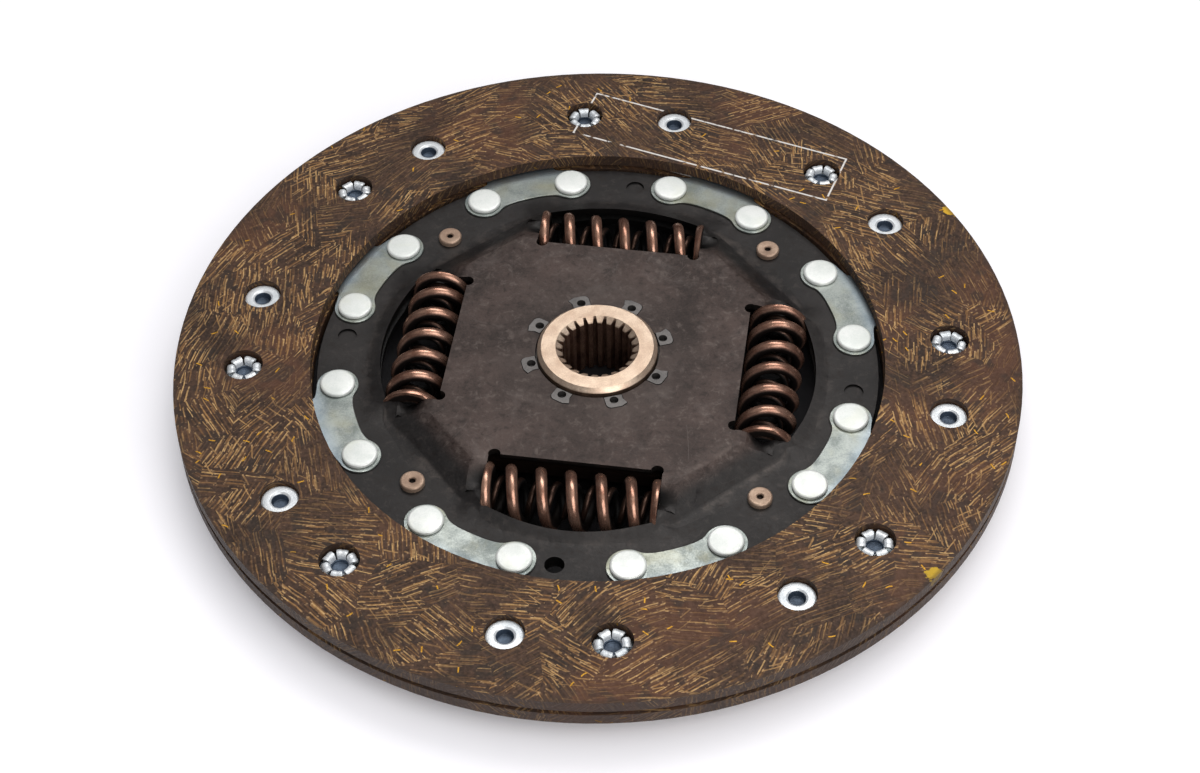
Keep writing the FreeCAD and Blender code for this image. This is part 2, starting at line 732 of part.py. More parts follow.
def segment_rivet():
    """A flat-headed rivet whose zero height is the top of a segment's foot."""
    stack = "(segment_thickness + 2 * plate_thickness)"
    return rivet(
        "segment_rivet",
        [
            ("0", f"-({stack} + closing_head_thickness)"),
            ("(closing_head_radius - closing_head_edge)", f"-({stack} + closing_head_thickness)"),
            ("closing_head_radius", f"-({stack} + closing_head_thickness - closing_head_edge)"),
            ("closing_head_radius", f"-{stack}"), ("segment_shank_radius", f"-{stack}"),
            ("segment_shank_radius", "0"), ("segment_head_radius", "0"),
            ("segment_head_radius", "(segment_head_thickness - segment_head_crown)"),
            ("(segment_head_radius - 2 * segment_head_crown)", "segment_head_thickness"),
            ("0", "segment_head_thickness"),
        ],
    )


def plate_rivet():
    """A short rivet with a centre hole. Its zero height is the top of the upper flange."""
    stack = "(2 * plate_thickness)"
    return rivet(
        "plate_rivet",
        [
            ("0", f"-({stack} + plate_rivet_thickness)"),
            ("(plate_rivet_radius - plate_rivet_edge)", f"-({stack} + plate_rivet_thickness)"),
            ("plate_rivet_radius", f"-({stack} + plate_rivet_thickness - plate_rivet_edge)"),
            ("plate_rivet_radius", f"-{stack}"), ("plate_rivet_shank", f"-{stack}"),
            ("plate_rivet_shank", "0"), ("plate_rivet_radius", "0"),
            ("plate_rivet_radius", "(plate_rivet_thickness - plate_rivet_edge)"),
            ("(plate_rivet_radius - plate_rivet_edge)", "plate_rivet_thickness"),
            ("plate_rivet_bore", "plate_rivet_thickness"), ("plate_rivet_bore", "0"), ("0", "0"),
        ],
    )


def rivet_row(label, master, circle_radius, angles, height, upside_down=False):
    """Copies of one rivet on a circle, kept as one group of separate solids."""
    links = []
    for number, angle in enumerate(angles, start=1):
        link = doc.addObject("App::Link", f"{label}_{number}")
        link.LinkedObject = master
        if upside_down:
            link.Placement.Rotation = FreeCAD.Rotation(FreeCAD.Vector(1, 0, 0), 180)
        x, y = polar(circle_radius, angle)
        bind(link, Placement__Base__x=x, Placement__Base__y=y, Placement__Base__z=height)
        links.append(link)
    compound = doc.addObject("Part::Compound", label)
    compound.Label = label
    compound.Links = links
    return compound


def evenly(first, count):
    """Formulas of the angles of count places, clockwise from the first."""
    return [f"({first} - {TURN / count * number})" for number in range(count)]


def friction_stack():
    """What presses the hub's flange between the plates, from the flange down."""
    washer_top = f"({HUB_FLANGE_BOTTOM} - friction_clearance)"
    washer_low = f"({washer_top} - friction_washer_thickness)"
    support_low = f"({washer_low} - support_washer_thickness)"
    bore = "washer_bore_radius"
    friction = turned_ring(
        "friction_washer", box_section(bore, "friction_washer_radius", washer_low, washer_top))
    support = turned_ring(
        "support_washer", box_section(bore, "support_washer_radius", support_low, washer_low))
    spring = turned_ring(
        "disc_spring",
        [
            ("disc_spring_bore_radius", f"({support_low} - disc_spring_thickness)"),
            ("support_washer_radius", COUNTER_INSIDE),
            ("support_washer_radius", f"({COUNTER_INSIDE} + disc_spring_thickness)"),
            ("disc_spring_bore_radius", support_low),
        ],
    )
    sleeve = f"({GUIDE_BORE} + bush_wall - running_clearance)"
    bush = turned_ring(
        "counter_bush",
        [
            (GUIDE_BORE, COUNTER_BOTTOM), (sleeve, COUNTER_BOTTOM), (sleeve, COUNTER_INSIDE),
            ("bush_collar_radius", COUNTER_INSIDE),
            ("bush_collar_radius", f"({COUNTER_INSIDE} + bush_collar_thickness)"),
            (GUIDE_BORE, f"({COUNTER_INSIDE} + bush_collar_thickness)"),
        ],
    )
    return [friction, support, spring, bush]


def build():
    pair = "facing_pair_angle"
    spread = "facing_pair_spread"
    upper_angle, lower_angle = f"({pair} - {spread})", f"({pair} + {spread})"
    nodes = [
        facing("facing_upper", UPPER_FACING_BOTTOM, upper_angle, lower_angle, head_up=True),
        facing("facing_lower", LOWER_FACING_BOTTOM, lower_angle, upper_angle, head_up=False),
    ]
    nodes += [cushion_segment(number) for number in range(1, SEGMENTS + 1)]
    nodes += [drive_plate(), counter_plate(), guide_ring(), hub()]
    nodes += friction_stack()
    for number in range(1, WINDOWS + 1):
        angle = f"(window_angle - {WINDOW_STEP * (number - 1)})"
        nodes.append(coil_spring(
            f"outer_spring_{number}", "outer_coil_radius", "outer_wire_radius", "outer_pitch", False, angle))
        nodes.append(coil_spring(
            f"inner_spring_{number}", "inner_coil_radius", "inner_wire_radius", "inner_pitch", True, angle))
    lining_rivet, foot_rivet, short_rivet = facing_rivet(), segment_rivet(), plate_rivet()
    feet = []
    for side in ("-", "+"):
        feet += evenly(f"(segment_angle {side} segment_rivet_spread)", SEGMENTS)
    nodes += [
        rivet_row("facing_rivets_upper", lining_rivet, "facing_rivet_circle",
                  evenly(upper_angle, SEGMENTS), CUSHION_MIDDLE, upside_down=True),
        rivet_row("facing_rivets_lower", lining_rivet, "facing_rivet_circle",
                  evenly(lower_angle, SEGMENTS), CUSHION_MIDDLE),
        rivet_row("segment_rivets", foot_rivet, "segment_rivet_circle",
                  feet, f"({FLANGE_TOP} + segment_thickness)"),
        rivet_row("plate_rivets", short_rivet, "plate_rivet_circle",
                  evenly("plate_rivet_angle", WINDOWS), FLANGE_TOP),
    ]
    return nodes


nodes = build()
doc.recompute()
broken = [thing.Label for thing in doc.Objects if {"Invalid", "Error"} & set(thing.State)]
broken += [node.Label for node in nodes if node.Shape.isNull() or not node.Shape.isValid()]
if broken:
    raise SystemExit(f"these did not build: {broken}")
os.makedirs("parts", exist_ok=True)
for node in nodes:
    node.Shape.exportStep(f"parts/{node.Label}.step")
    box = node.Shape.BoundBox
    print(f"{node.Label}: {len(node.Shape.Solids)} solids, {node.Shape.Volume:.0f} mm3, z to {box.ZMax:.2f}")
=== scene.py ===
"""Looks of the clutch disc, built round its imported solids. The scene is in metres. The sizes
named here, and the points of the profiles, are in millimetres."""
import math
import random

import bmesh
import bpy
from mathutils import Matrix, Vector
from mathutils.kdtree import KDTree


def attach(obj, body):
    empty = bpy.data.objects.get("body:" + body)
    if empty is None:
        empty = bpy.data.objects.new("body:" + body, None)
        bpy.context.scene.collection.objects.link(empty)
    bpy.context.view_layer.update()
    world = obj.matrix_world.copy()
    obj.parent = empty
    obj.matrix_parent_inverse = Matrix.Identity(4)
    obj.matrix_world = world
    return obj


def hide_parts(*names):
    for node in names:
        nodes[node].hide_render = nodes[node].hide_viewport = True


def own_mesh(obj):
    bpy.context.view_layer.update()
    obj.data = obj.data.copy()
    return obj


MM = 0.001
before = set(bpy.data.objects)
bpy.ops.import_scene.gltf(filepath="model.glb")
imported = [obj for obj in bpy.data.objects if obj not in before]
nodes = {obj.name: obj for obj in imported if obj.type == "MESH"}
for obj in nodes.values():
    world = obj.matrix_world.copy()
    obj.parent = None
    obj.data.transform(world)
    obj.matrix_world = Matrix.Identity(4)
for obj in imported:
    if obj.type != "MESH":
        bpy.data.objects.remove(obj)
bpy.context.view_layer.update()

# heights, radii and angles of the solids
FACING_RADIUS = 114.0
MEETING = 11.0
FLANGE_TOP = 13.0
CUSHION_MIDDLE = 13.3
FOOT_TOP = 13.6
WINDOW_ANGLE = 81.2
SPRING_CIRCLE = 47.2
HALF_LENGTH = 22.8
FACING_RIVETS = 95.5
PAIR_ANGLE = 83.65
PAIR_SPREAD = 8.0
SEGMENT_ANGLE = 61.35
SEGMENT_SPREAD = 10.65
SEGMENT_RIVETS = 70.45
PLATE_RIVETS = 63.8
PLATE_RIVET_ANGLE = 40.5

# the segments' feet
LOBE_RADIUS = 5.7
BLADE_START = 80.3
FOOT_HEIGHTS = (13.0, 13.1, 13.48, FOOT_TOP)
FOOT_BEVEL = 0.14

# the plates' windows, measured out from the axis and along each window from its middle
WINDOW_END = 22.85
TAB_INNER, TAB_OUTER, TAB_END = 42.8, 50.4, 27.5
TAB_MIDDLE, TAB_HALF_WIDTH, TAB_LENGTH = 46.6, 3.7, 4.6
TAB_HEIGHT = 4.5
DENT_DEPTH = 2.0
LIP_START = 50.45
LIP_LIMIT = 65.0
CUT_RADIUS, CUT_FLAT = 58.9, 56.4
CURVE_MIDDLE, CURVE_DROP = 59.2, 5.6
CURVE_REACH, CURVE_FADE = 30.0, 4.2
SKIRT_SLOPE = 0.228

# how the plates' folds are rounded
FOLD_STEP, FOLD_LINES, FOLD_ROUNDS = 1.9, 39, 12
WORN_FULLY = 0.22

WELD = 2e-6
SHARP_ANGLE = math.radians(38)

# how deep each kind of grain is, in metres
HAIR, GRAIN, YARN = 0.00002, 0.00003, 0.0001


# ---------------------------------------------------------------- node trees
def rgb(red, green, blue):
    """A colour written as display values from 0 to 255."""
    def linear(part):
        part /= 255.0
        return part / 12.92 if part <= 0.04045 else ((part + 0.055) / 1.055) ** 2.4
    return (linear(red), linear(green), linear(blue), 1.0)


class Tree:
    """Adds nodes to a tree. Each call returns the socket that carries its result."""

    def __init__(self, tree):
        self.tree = tree

    def put(self, kind, feeds=None, out=0, **settings):
        node = self.tree.nodes.new("ShaderNode" + kind)
        for name, setting in settings.items():
            setattr(node, name, setting)
        for key, value in (feeds or {}).items():
            self.feed(node.inputs[key], value)
        return node.outputs[out] if out is not None else node

    def feed(self, socket, value):
        if isinstance(value, bpy.types.NodeSocket):
            self.tree.links.new(value, socket)
        else:
            socket.default_value = value

    def math(self, operation, a, b=0.0, clamp=False):
        return self.put("Math", {0: a, 1: b}, operation=operation, use_clamp=clamp)

    def plus(self, a, b):
        return self.math("ADD", a, b)

    def minus(self, a, b, clamp=False):
        return self.math("SUBTRACT", a, b, clamp=clamp)

    def times(self, a, b, clamp=False):
        return self.math("MULTIPLY", a, b, clamp=clamp)

    def vector(self, operation, a, b=(0.0, 0.0, 0.0), out=0):
        return self.put("VectorMath", {0: a, 1: b}, out=out, operation=operation)

    def scaled(self, a, factor):
        return self.put("VectorMath", {0: a, "Scale": factor}, operation="SCALE")

    def split(self, a):
        return self.put("SeparateXYZ", {0: a}, out=None).outputs

    def joined(self, x, y, z=0.0):
        return self.put("CombineXYZ", {0: x, 1: y, 2: z})

    def band(self, value, low, high, start=0.0, end=1.0):
        """start below low, end above high, and a smooth step between."""
        return self.put(
            "MapRange", {"Value": value, 1: low, 2: high, 3: start, 4: end},
            interpolation_type="SMOOTHSTEP")

    def mix(self, factor, a, b):
        return self.put("Mix", {0: factor, 6: a, 7: b}, out=2, data_type="RGBA")

    def cells(self, place, randomness=1.0):
        return self.put(
            "TexVoronoi", {"Vector": place, "Scale": 1.0, "Randomness": randomness}, out=None,
            voronoi_dimensions="2D")

    def attribute(self, name):
        return self.put("Attribute", out=2, attribute_name=name)

    def noise(self, place, scale, detail=3.0, roughness=0.55, distortion=0.0, out=0):
        return self.put("TexNoise", {
            "Vector": place, "Scale": scale, "Detail": detail, "Roughness": roughness,
            "Distortion": distortion}, out=out)

    def group(self, name, feeds):
        node = self.tree.nodes.new("ShaderNodeGroup")
        node.node_tree = bpy.data.node_groups[name]
        for key, value in feeds.items():
            self.feed(node.inputs[key], value)
        return node.outputs


def new_group(name, inputs, outputs):
    """An effect shared by several materials, with named inputs and outputs."""
    tree = bpy.data.node_groups.new(name, "ShaderNodeTree")
    kinds = {"v": "NodeSocketVector", "f": "NodeSocketFloat", "c": "NodeSocketColor"}
    for label, (kind, value) in inputs.items():
        socket = tree.interface.new_socket(name=label, in_out="INPUT", socket_type=kinds[kind])
        if value is not None:
            socket.default_value = value
    for label, kind in outputs.items():
        tree.interface.new_socket(name=label, in_out="OUTPUT", socket_type=kinds[kind])
    start = tree.nodes.new("NodeGroupInput").outputs
    finish = tree.nodes.new("NodeGroupOutput").inputs
    return Tree(tree), start, finish


def turned_by(t, place, turn):
    """How far a flat place lies across and along a direction."""
    cosine, sine = t.math("COSINE", turn), t.math("SINE", turn)
    across = t.plus(t.times(place[0], cosine), t.times(place[1], sine))
    along = t.minus(t.times(place[1], cosine), t.times(place[0], sine))
    return across, along


def mottled(t, place, cloud, grain, share):
    """The mottle's outputs: share is how much of it is grain."""
    return t.group("mottle", {"Place": place, "Cloud": cloud, "Grain": grain, "Mix": share})


def scratched(t, place, density, width):
    return t.group("scratches", {"Place": place, "Density": density, "Width": width})["Mask"]


def make_dashes():
    """Short straight fibres, one in each cell, that follow crossing swirls round the hub."""
    t, start, finish = new_group(
        "fibre dashes",
        {
            "Place": ("v", None), "Density": ("f", 400.0), "Shift": ("f", 0.0),
            "Length": ("f", 0.42), "Width": ("f", 0.1), "Lean": ("f", 0.9), "Scatter": ("f", 0.5),
            "Patch": ("f", 80.0),
        },
        {"Mask": "f", "Tone": "f", "Along": "f"},
    )
    shift = t.joined(start["Shift"], start["Shift"])
    moved = t.vector("ADD", t.scaled(start["Place"], start["Density"]), shift)
    cell = t.cells(moved)
    tone = t.split(cell.outputs["Color"])
    middle = t.vector("SUBTRACT", cell.outputs["Position"], shift)
    home = t.scaled(middle, t.math("DIVIDE", 1.0, start["Density"]))
    at = t.split(home)
    swirl = t.math("ARCTAN2", at[1], at[0])
    patch = t.noise(home, start["Patch"], 1.0, 0.5, 0.6)
    side = t.band(patch, 0.49, 0.51, -1.0, 1.0)
    turn = t.plus(swirl, t.times(side, start["Lean"]))
    turn = t.plus(turn, t.times(t.minus(tone[1], 0.5), start["Scatter"]))
    offset = t.split(t.vector("SUBTRACT", moved, cell.outputs["Position"]))
    across, along = turned_by(t, offset, turn)
    bend = t.times(t.times(along, along), t.minus(tone[2], 0.5))
    across = t.math("ABSOLUTE", t.plus(across, bend))
    along = t.math("ABSOLUTE", along)
    reach = t.times(start["Length"], t.plus(t.times(tone[0], 0.8), 0.35))
    thin = t.band(across, t.times(start["Width"], 0.45), start["Width"], 1.0, 0.0)
    short = t.band(along, t.times(reach, 0.75), reach, 1.0, 0.0)
    t.feed(finish["Mask"], t.times(thin, short))
    t.feed(finish["Tone"], tone[0])
    t.feed(finish["Along"], along)


def make_yarn():
    """Cut pieces of yarn. They lie side by side in patches, each with its own direction."""
    t, start, finish = new_group(
        "yarn pieces",
        {
            "Place": ("v", None), "Patch": ("f", 75.0), "Shift": ("f", 0.0), "Along": ("f", 190.0),
            "Across": ("f", 850.0), "Lean": ("f", 0.9), "Share": ("f", 0.6),
            "Width": ("f", 0.24),
        },
        {"Mask": "f", "Tone": "f", "Tip": "f"},
    )
    wander = t.vector("SUBTRACT", t.noise(start["Place"], 70.0, 2.0, 0.5, out=1), (0.5, 0.5, 0.5))
    bent = t.vector("ADD", start["Place"], t.scaled(wander, 0.0022))
    shift = t.joined(start["Shift"], start["Shift"])
    moved = t.vector("ADD", t.scaled(bent, start["Patch"]), shift)
    patch = t.cells(moved)
    tone = t.split(patch.outputs["Color"])
    at = t.split(t.vector("SUBTRACT", patch.outputs["Position"], shift))
    swirl = t.math("ARCTAN2", at[1], at[0])
    side = t.times(t.minus(tone[0], 0.5), 2.0)
    turn = t.plus(swirl, t.times(side, start["Lean"]))
    spot = t.split(bent)
    across, along = turned_by(t, spot, turn)
    laid = t.joined(
        t.plus(t.times(across, start["Across"]), t.times(tone[1], 40.0)),
        t.plus(t.times(along, start["Along"]), t.times(tone[2], 40.0)))
    piece = t.cells(laid, 0.85)
    kind = t.split(piece.outputs["Color"])
    frayed = t.vector("SUBTRACT", t.noise(start["Place"], 1500.0, 1.0, 0.5, out=1), (0.5, 0.5, 0.5))
    offset = t.split(t.vector("ADD", t.vector("SUBTRACT", laid, piece.outputs["Position"]),
                              t.scaled(frayed, 0.12)))
    reach = t.plus(t.times(kind[0], 0.34), 0.2)
    from_middle = t.math("ABSOLUTE", offset[1])
    half = t.times(start["Width"], t.plus(t.times(kind[1], 0.6), 0.6))
    thin = t.band(t.math("ABSOLUTE", offset[0]), t.times(half, 0.3), half, 1.0, 0.0)
    short = t.band(from_middle, t.times(reach, 0.86), reach, 1.0, 0.0)
    kept = t.math("LESS_THAN", kind[2], start["Share"])
    mask = t.times(t.times(thin, short), kept)
    tip = t.band(from_middle, t.times(reach, 0.68), t.times(reach, 0.86))
    t.feed(finish["Mask"], mask)
    t.feed(finish["Tone"], kind[1])
    t.feed(finish["Tip"], t.times(mask, tip))


def make_scratches():
    """Hair-fine random scratches in three directions."""
    t, start, finish = new_group(
        "scratches", {"Place": ("v", None), "Density": ("f", 90.0), "Width": ("f", 0.012)},
        {"Mask": "f"})
    total = None
    for number, spread in enumerate((1.0, 1.7, 2.9)):
        dash = t.group("fibre dashes", {
            "Place": start["Place"], "Density": t.times(start["Density"], spread),
            "Shift": 3.7 * number + 1.3, "Length": 0.55, "Width": start["Width"],
            "Lean": 0.3 + number, "Scatter": 6.3, "Patch": 60.0})
        line = t.times(dash["Mask"], dash["Tone"])
        total = line if total is None else t.math("MAXIMUM", total, line)
    t.feed(finish["Mask"], total)


def make_mottle():
    """Cloudy variation with fine grain in it, from 0 to 1."""
    t, start, finish = new_group(
        "mottle",
        {"Place": ("v", None), "Cloud": ("f", 60.0), "Grain": ("f", 1400.0), "Mix": ("f", 0.35)},
        {"Value": "f", "Fine": "f"})
    cloud = t.noise(start["Place"], start["Cloud"], 5.0, 0.6, 0.3)
    fine = t.noise(start["Place"], start["Grain"], 3.0, 0.6)
    both = t.plus(t.times(cloud, t.minus(1.0, start["Mix"])), t.times(fine, start["Mix"]))
    t.feed(finish["Value"], t.band(both, 0.33, 0.67))
    t.feed(finish["Fine"], fine)


make_dashes()
make_yarn()
make_scratches()
make_mottle()


def material(name, paint):
    """A material whose paint function returns what feeds the Principled shader."""
    made = bpy.data.materials.new(name)
    made.use_nodes = True
    made.node_tree.nodes.clear()
    t = Tree(made.node_tree)
    place = t.put("TexCoord", out=3)
    feeds, heights = paint(t, place)
    shader = made.node_tree.nodes.new("ShaderNodeBsdfPrincipled")
    for key, value in feeds.items():
        t.feed(shader.inputs[key], value)
    if heights is not None:
        height, depth = heights
        bump = t.put("Bump", {"Height": height, "Strength": 1.0, "Distance": depth})
        t.feed(shader.inputs["Normal"], bump)
    output = made.node_tree.nodes.new("ShaderNodeOutputMaterial")
    t.tree.links.new(shader.outputs[0], output.inputs[0])
    return made


def frame_print(t, at):
    """A plain printed frame, worn off in places: 1 on its lines."""
    middle, tilt, half_long, half_short, line = (33.5, 81.3), -22.8, 39.1, 9.2, 0.32
    cosine, sine = math.cos(math.radians(tilt)), math.sin(math.radians(tilt))
    x = t.minus(at[0], middle[0] * MM)
    y = t.minus(at[1], middle[1] * MM)
    along = t.math("ABSOLUTE", t.plus(t.times(x, cosine), t.times(y, sine)))
    across = t.math("ABSOLUTE", t.minus(t.times(y, cosine), t.times(x, sine)))
    out = t.math("MAXIMUM", t.minus(along, half_long * MM), t.minus(across, half_short * MM))
    return t.band(t.math("ABSOLUTE", out), line * 0.6 * MM, line * MM, 1.0, 0.0)


def paint_dab(t, place, middle, size):
    """A ragged dab of marking paint: 1 inside it."""
    home = tuple(part * MM for part in middle)
    gap = t.vector("LENGTH", t.vector("SUBTRACT", place, home), out=1)
    ragged = t.plus(gap, t.times(t.minus(t.noise(place, 420.0, 3.0), 0.5), 0.006))
    return t.band(ragged, size * 0.8 * MM, size * MM, 1.0, 0.0)


def lining_paint(t, place):
    """Brown resin with layers of yarn pieces, a few brass chips and the printed frame."""
    at = t.split(place)
    flat = t.joined(at[0], at[1])
    around = t.math("ARCTAN2", at[1], at[0])
    radius = t.vector("LENGTH", flat, out=1)
    facing = t.split(t.put("NewGeometry", out=1))[2]
    rolled = t.joined(t.times(around, FACING_RADIUS * MM), at[2])
    is_face = t.band(t.math("ABSOLUTE", facing), 0.4, 0.6)
    spread = t.put("Mix", {0: is_face, 4: rolled, 5: flat}, out=1, data_type="VECTOR")
    mottle = mottled(t, place, 60.0, 1100.0, 0.5)
    colour = t.mix(mottle["Value"], rgb(46, 33, 25), rgb(86, 61, 45))
    red = t.band(t.noise(place, 30.0, 2.0, 0.5), 0.52, 0.7)
    colour = t.mix(t.times(red, 0.45), colour, rgb(98, 60, 40))
    dark = t.band(t.noise(place, 120.0, 2.0, 0.6), 0.52, 0.62)
    colour = t.mix(t.times(dark, 0.55), colour, rgb(42, 37, 33))
    height = t.times(mottle["Fine"], 0.35)
    plenty = t.band(t.noise(place, 48.0, 2.0, 0.55), 0.38, 0.58, 0.2, 1.0)
    dusty = t.band(t.noise(place, 900.0, 2.0, 0.5), 0.3, 0.65, 0.45, 1.0)
    layers = (
        # patch, shift, along, across, lean, share, width, yarn, strength
        (64.0, 0.0, 170.0, 900.0, 1.0, 0.85, 0.36, rgb(104, 75, 49), 0.6),
        (64.0, 0.0, 132.0, 760.0, 1.0, 0.6, 0.24, rgb(150, 110, 64), 0.8),
        (64.0, 0.0, 112.0, 680.0, 1.0, 0.55, 0.2, rgb(182, 138, 84), 0.85),
        (64.0, 0.0, 140.0, 800.0, 1.0, 0.42, 0.22, rgb(222, 180, 118), 0.9),
        (90.0, 27.9, 130.0, 700.0, 0.6, 0.26, 0.21, rgb(192, 150, 94), 0.85),
    )
    for patch, shift, along, across, lean, share, width, yarn, strength in layers:
        laid = t.group("yarn pieces", {
            "Place": spread, "Patch": patch, "Shift": shift, "Along": along, "Across": across,
            "Lean": lean, "Share": share, "Width": width})
        shown = t.times(t.times(laid["Mask"], dusty), t.times(plenty, strength))
        tan = t.mix(t.times(laid["Tone"], 0.5), yarn, rgb(122, 84, 48))
        tan = t.mix(t.times(laid["Tip"], 0.45), tan, rgb(226, 190, 142))
        colour = t.mix(shown, colour, tan)
        height = t.plus(height, t.times(laid["Mask"], 0.4))
    chip = t.group("fibre dashes", {
        "Place": spread, "Density": 330.0, "Shift": 4.4, "Length": 0.3, "Width": 0.08, "Lean": 0.9,
        "Scatter": 1.2, "Patch": 95.0})
    brass = t.times(chip["Mask"], t.band(chip["Tone"], 0.955, 0.96))
    colour = t.mix(brass, colour, rgb(226, 172, 66))
    ink = t.times(frame_print(t, at), t.band(t.noise(place, 380.0, 3.0, 0.6), 0.34, 0.46))
    ink = t.times(ink, t.band(facing, 0.4, 0.6))
    colour = t.mix(t.times(ink, 0.92), colour, rgb(232, 228, 222))
    for middle, size, paint in (
            ((101.5, 52.0, 17.5), 2.6, rgb(226, 178, 40)),
            ((83.5, -77.0, 17.0), 2.4, rgb(206, 168, 42)),
            ((83.0, 50.5, 17.5), 1.2, rgb(206, 116, 40))):
        colour = t.mix(t.times(paint_dab(t, place, middle, size), 0.85), colour, paint)
    rim_wear = t.band(radius, 0.1126, 0.1137)
    colour = t.mix(t.times(rim_wear, 0.5), colour, rgb(60, 47, 39))
    colour = t.mix(t.times(t.minus(1.0, is_face), 0.6), colour, rgb(50, 38, 32))
    feeds = {
        "Base Color": colour, "Roughness": t.band(mottle["Fine"], 0.3, 0.7, 0.66, 0.52),
        "Metallic": brass, "Specular IOR Level": 0.3,
    }
    return feeds, (height, YARN)


def plate_paint(t, place):
    """Phosphated steel, darker on the flange, spotted and scratched on the raised part, and
    painted near black as shade on cut walls, inner sides and dents."""
    at = t.split(place)
    radius = t.vector("LENGTH", t.joined(at[0], at[1]), out=1)
    mottle = mottled(t, place, 55.0, 1500.0, 0.35)
    rise = t.band(t.math("ABSOLUTE", t.minus(at[2], MEETING * MM)), 0.0042, 0.0064)
    flange = t.mix(mottle["Value"], rgb(35, 33, 33), rgb(50, 47, 46))
    plateau = t.mix(mottle["Value"], rgb(49, 40, 37), rgb(82, 68, 63))
    colour = t.mix(rise, flange, plateau)
    worn = t.attribute("worn")
    bare = t.times(worn, t.band(t.noise(place, 160.0, 4.0, 0.65), 0.4, 0.62), clamp=True)
    colour = t.mix(t.times(bare, 0.25), colour, rgb(128, 116, 108))
    smudge = t.band(t.noise(place, 95.0, 5.0, 0.68, 0.8), 0.5, 0.72)
    colour = t.mix(t.times(t.times(smudge, rise), 0.4), colour, rgb(104, 95, 91))
    spots = t.noise(place, 420.0, 6.0, 0.72, 0.4)
    spotted = t.times(t.band(spots, 0.52, 0.68), t.band(rise, 0.0, 1.0, 0.12, 0.5))
    colour = t.mix(spotted, colour, rgb(112, 101, 95))
    colour = t.mix(t.times(t.band(spots, 0.48, 0.33), 0.6), colour, rgb(36, 29, 26))
    scratch = scratched(t, place, 70.0, 0.008)
    fine = scratched(t, t.vector("ADD", place, (0.031, 0.017, 0.0)), 190.0, 0.014)
    lines = t.math("MAXIMUM", scratch, t.times(fine, 0.6))
    lines = t.times(lines, t.band(rise, 0.0, 1.0, 0.35, 1.0))
    lines = t.times(lines, t.band(t.noise(place, 40.0, 2.0), 0.4, 0.6))
    colour = t.mix(t.times(lines, 0.16), colour, rgb(142, 133, 128))
    # painted shade: upright cut walls are painted near black, except where a dented tab lies flush
    # with the metal round it
    facing = t.split(t.put("NewGeometry", out=3))[2]
    cut = t.band(t.math("ABSOLUTE", facing), 0.3, 0.5, 1.0, 0.0)
    cut = t.minus(cut, t.attribute("flush"), clamp=True)
    colour = t.mix(t.times(cut, 0.92), colour, rgb(13, 12, 11))
    # painted shade: the sides that face in between the two plates, and the tab dents, are painted
    # near black
    side = t.math("SIGN", t.minus(at[2], MEETING * MM))
    inward = t.band(t.times(facing, side), -0.3, -0.1, 1.0, 0.0)
    inner = t.times(inward, t.band(radius, 0.060, 0.062, 1.0, 0.0))
    dented = t.attribute("hollow")
    colour = t.mix(t.math("MAXIMUM", inner, t.times(dented, 0.8)), colour, rgb(10, 9, 9))
    near = t.band(radius, 0.020, 0.034, 0.5, 0.0)
    colour = t.mix(t.times(near, mottle["Value"]), colour, rgb(74, 66, 62))
    rough = t.plus(t.band(mottle["Fine"], 0.3, 0.7, 0.42, 0.55), t.times(lines, -0.12))
    feeds = {"Base Color": colour, "Roughness": rough, "Metallic": 0.4, "Specular IOR Level": 0.45}
    height = t.plus(t.times(mottle["Fine"], 0.7), t.times(lines, -0.4))
    return feeds, (height, GRAIN)


def zinc_paint(low, high, rough, patina, metallic=0.95):
    """Bright plating in two tones, with stains and hair-fine scratches."""
    def paint(t, place):
        mottle = mottled(t, place, 130.0, 2600.0, 0.3)
        colour = t.mix(mottle["Value"], low, high)
        stain = t.band(t.noise(place, 95.0, 3.0, 0.5, 0.4), 0.52, 0.7)
        colour = t.mix(t.times(stain, 0.5), colour, patina)
        lines = scratched(t, place, 260.0, 0.02)
        colour = t.mix(t.times(lines, 0.08), colour, rgb(120, 122, 120))
        feeds = {
            "Base Color": colour, "Metallic": metallic,
            "Roughness": t.band(mottle["Value"], 0.0, 1.0, rough + 0.08, rough - 0.04),
        }
        return feeds, (t.plus(mottle["Fine"], t.times(lines, 0.3)), HAIR)
    return paint


def segment_paint(t, place):
    """Zinc plate, bluish where the facings shade it and stained olive in patches."""
    plain = zinc_paint(rgb(122, 130, 128), rgb(176, 182, 178), 0.34, rgb(164, 164, 144))
    feeds, bump = plain(t, place)
    radius = t.vector("LENGTH", t.vector("MULTIPLY", place, (1.0, 1.0, 0.0)), out=1)
    shade = t.band(radius, 0.0725, 0.0778, 0.0, 0.45)
    colour = t.mix(shade, feeds["Base Color"], rgb(158, 178, 200))
    olive = t.band(t.noise(place, 55.0, 4.0, 0.6, 0.7), 0.5, 0.66)
    feeds["Base Color"] = t.mix(t.times(olive, 0.32), colour, rgb(150, 144, 110))
    return feeds, bump


def wire_paint(hollow, dark, light, rough):
    """Lacquered wire, brighter and shinier along the outside of its turns. The inside of the
    turns takes the hollow colour, near black, as painted shade.
    """
    def paint(t, place):
        mottle = mottled(t, place, 210.0, 2400.0, 0.3)
        colour = t.mix(mottle["Value"], dark, light)
        lines = scratched(t, place, 300.0, 0.02)
        colour = t.mix(t.times(lines, 0.3), colour, rgb(176, 140, 122))
        # painted shade: away from the crown, on the inside of its turns, the wire is painted in the
        # near-black hollow colour
        crown = t.attribute("crown")
        outer = t.band(t.plus(crown, t.times(mottle["Value"], 0.06)), 0.62, 1.0)
        colour = t.mix(outer, hollow, colour)
        feeds = {
            "Base Color": colour, "Metallic": t.band(outer, 0.0, 1.0, 0.4, 0.85),
            "Roughness": t.band(outer, 0.0, 1.0, rough + 0.3, rough),
        }
        return feeds, (mottle["Fine"], HAIR)
    return paint


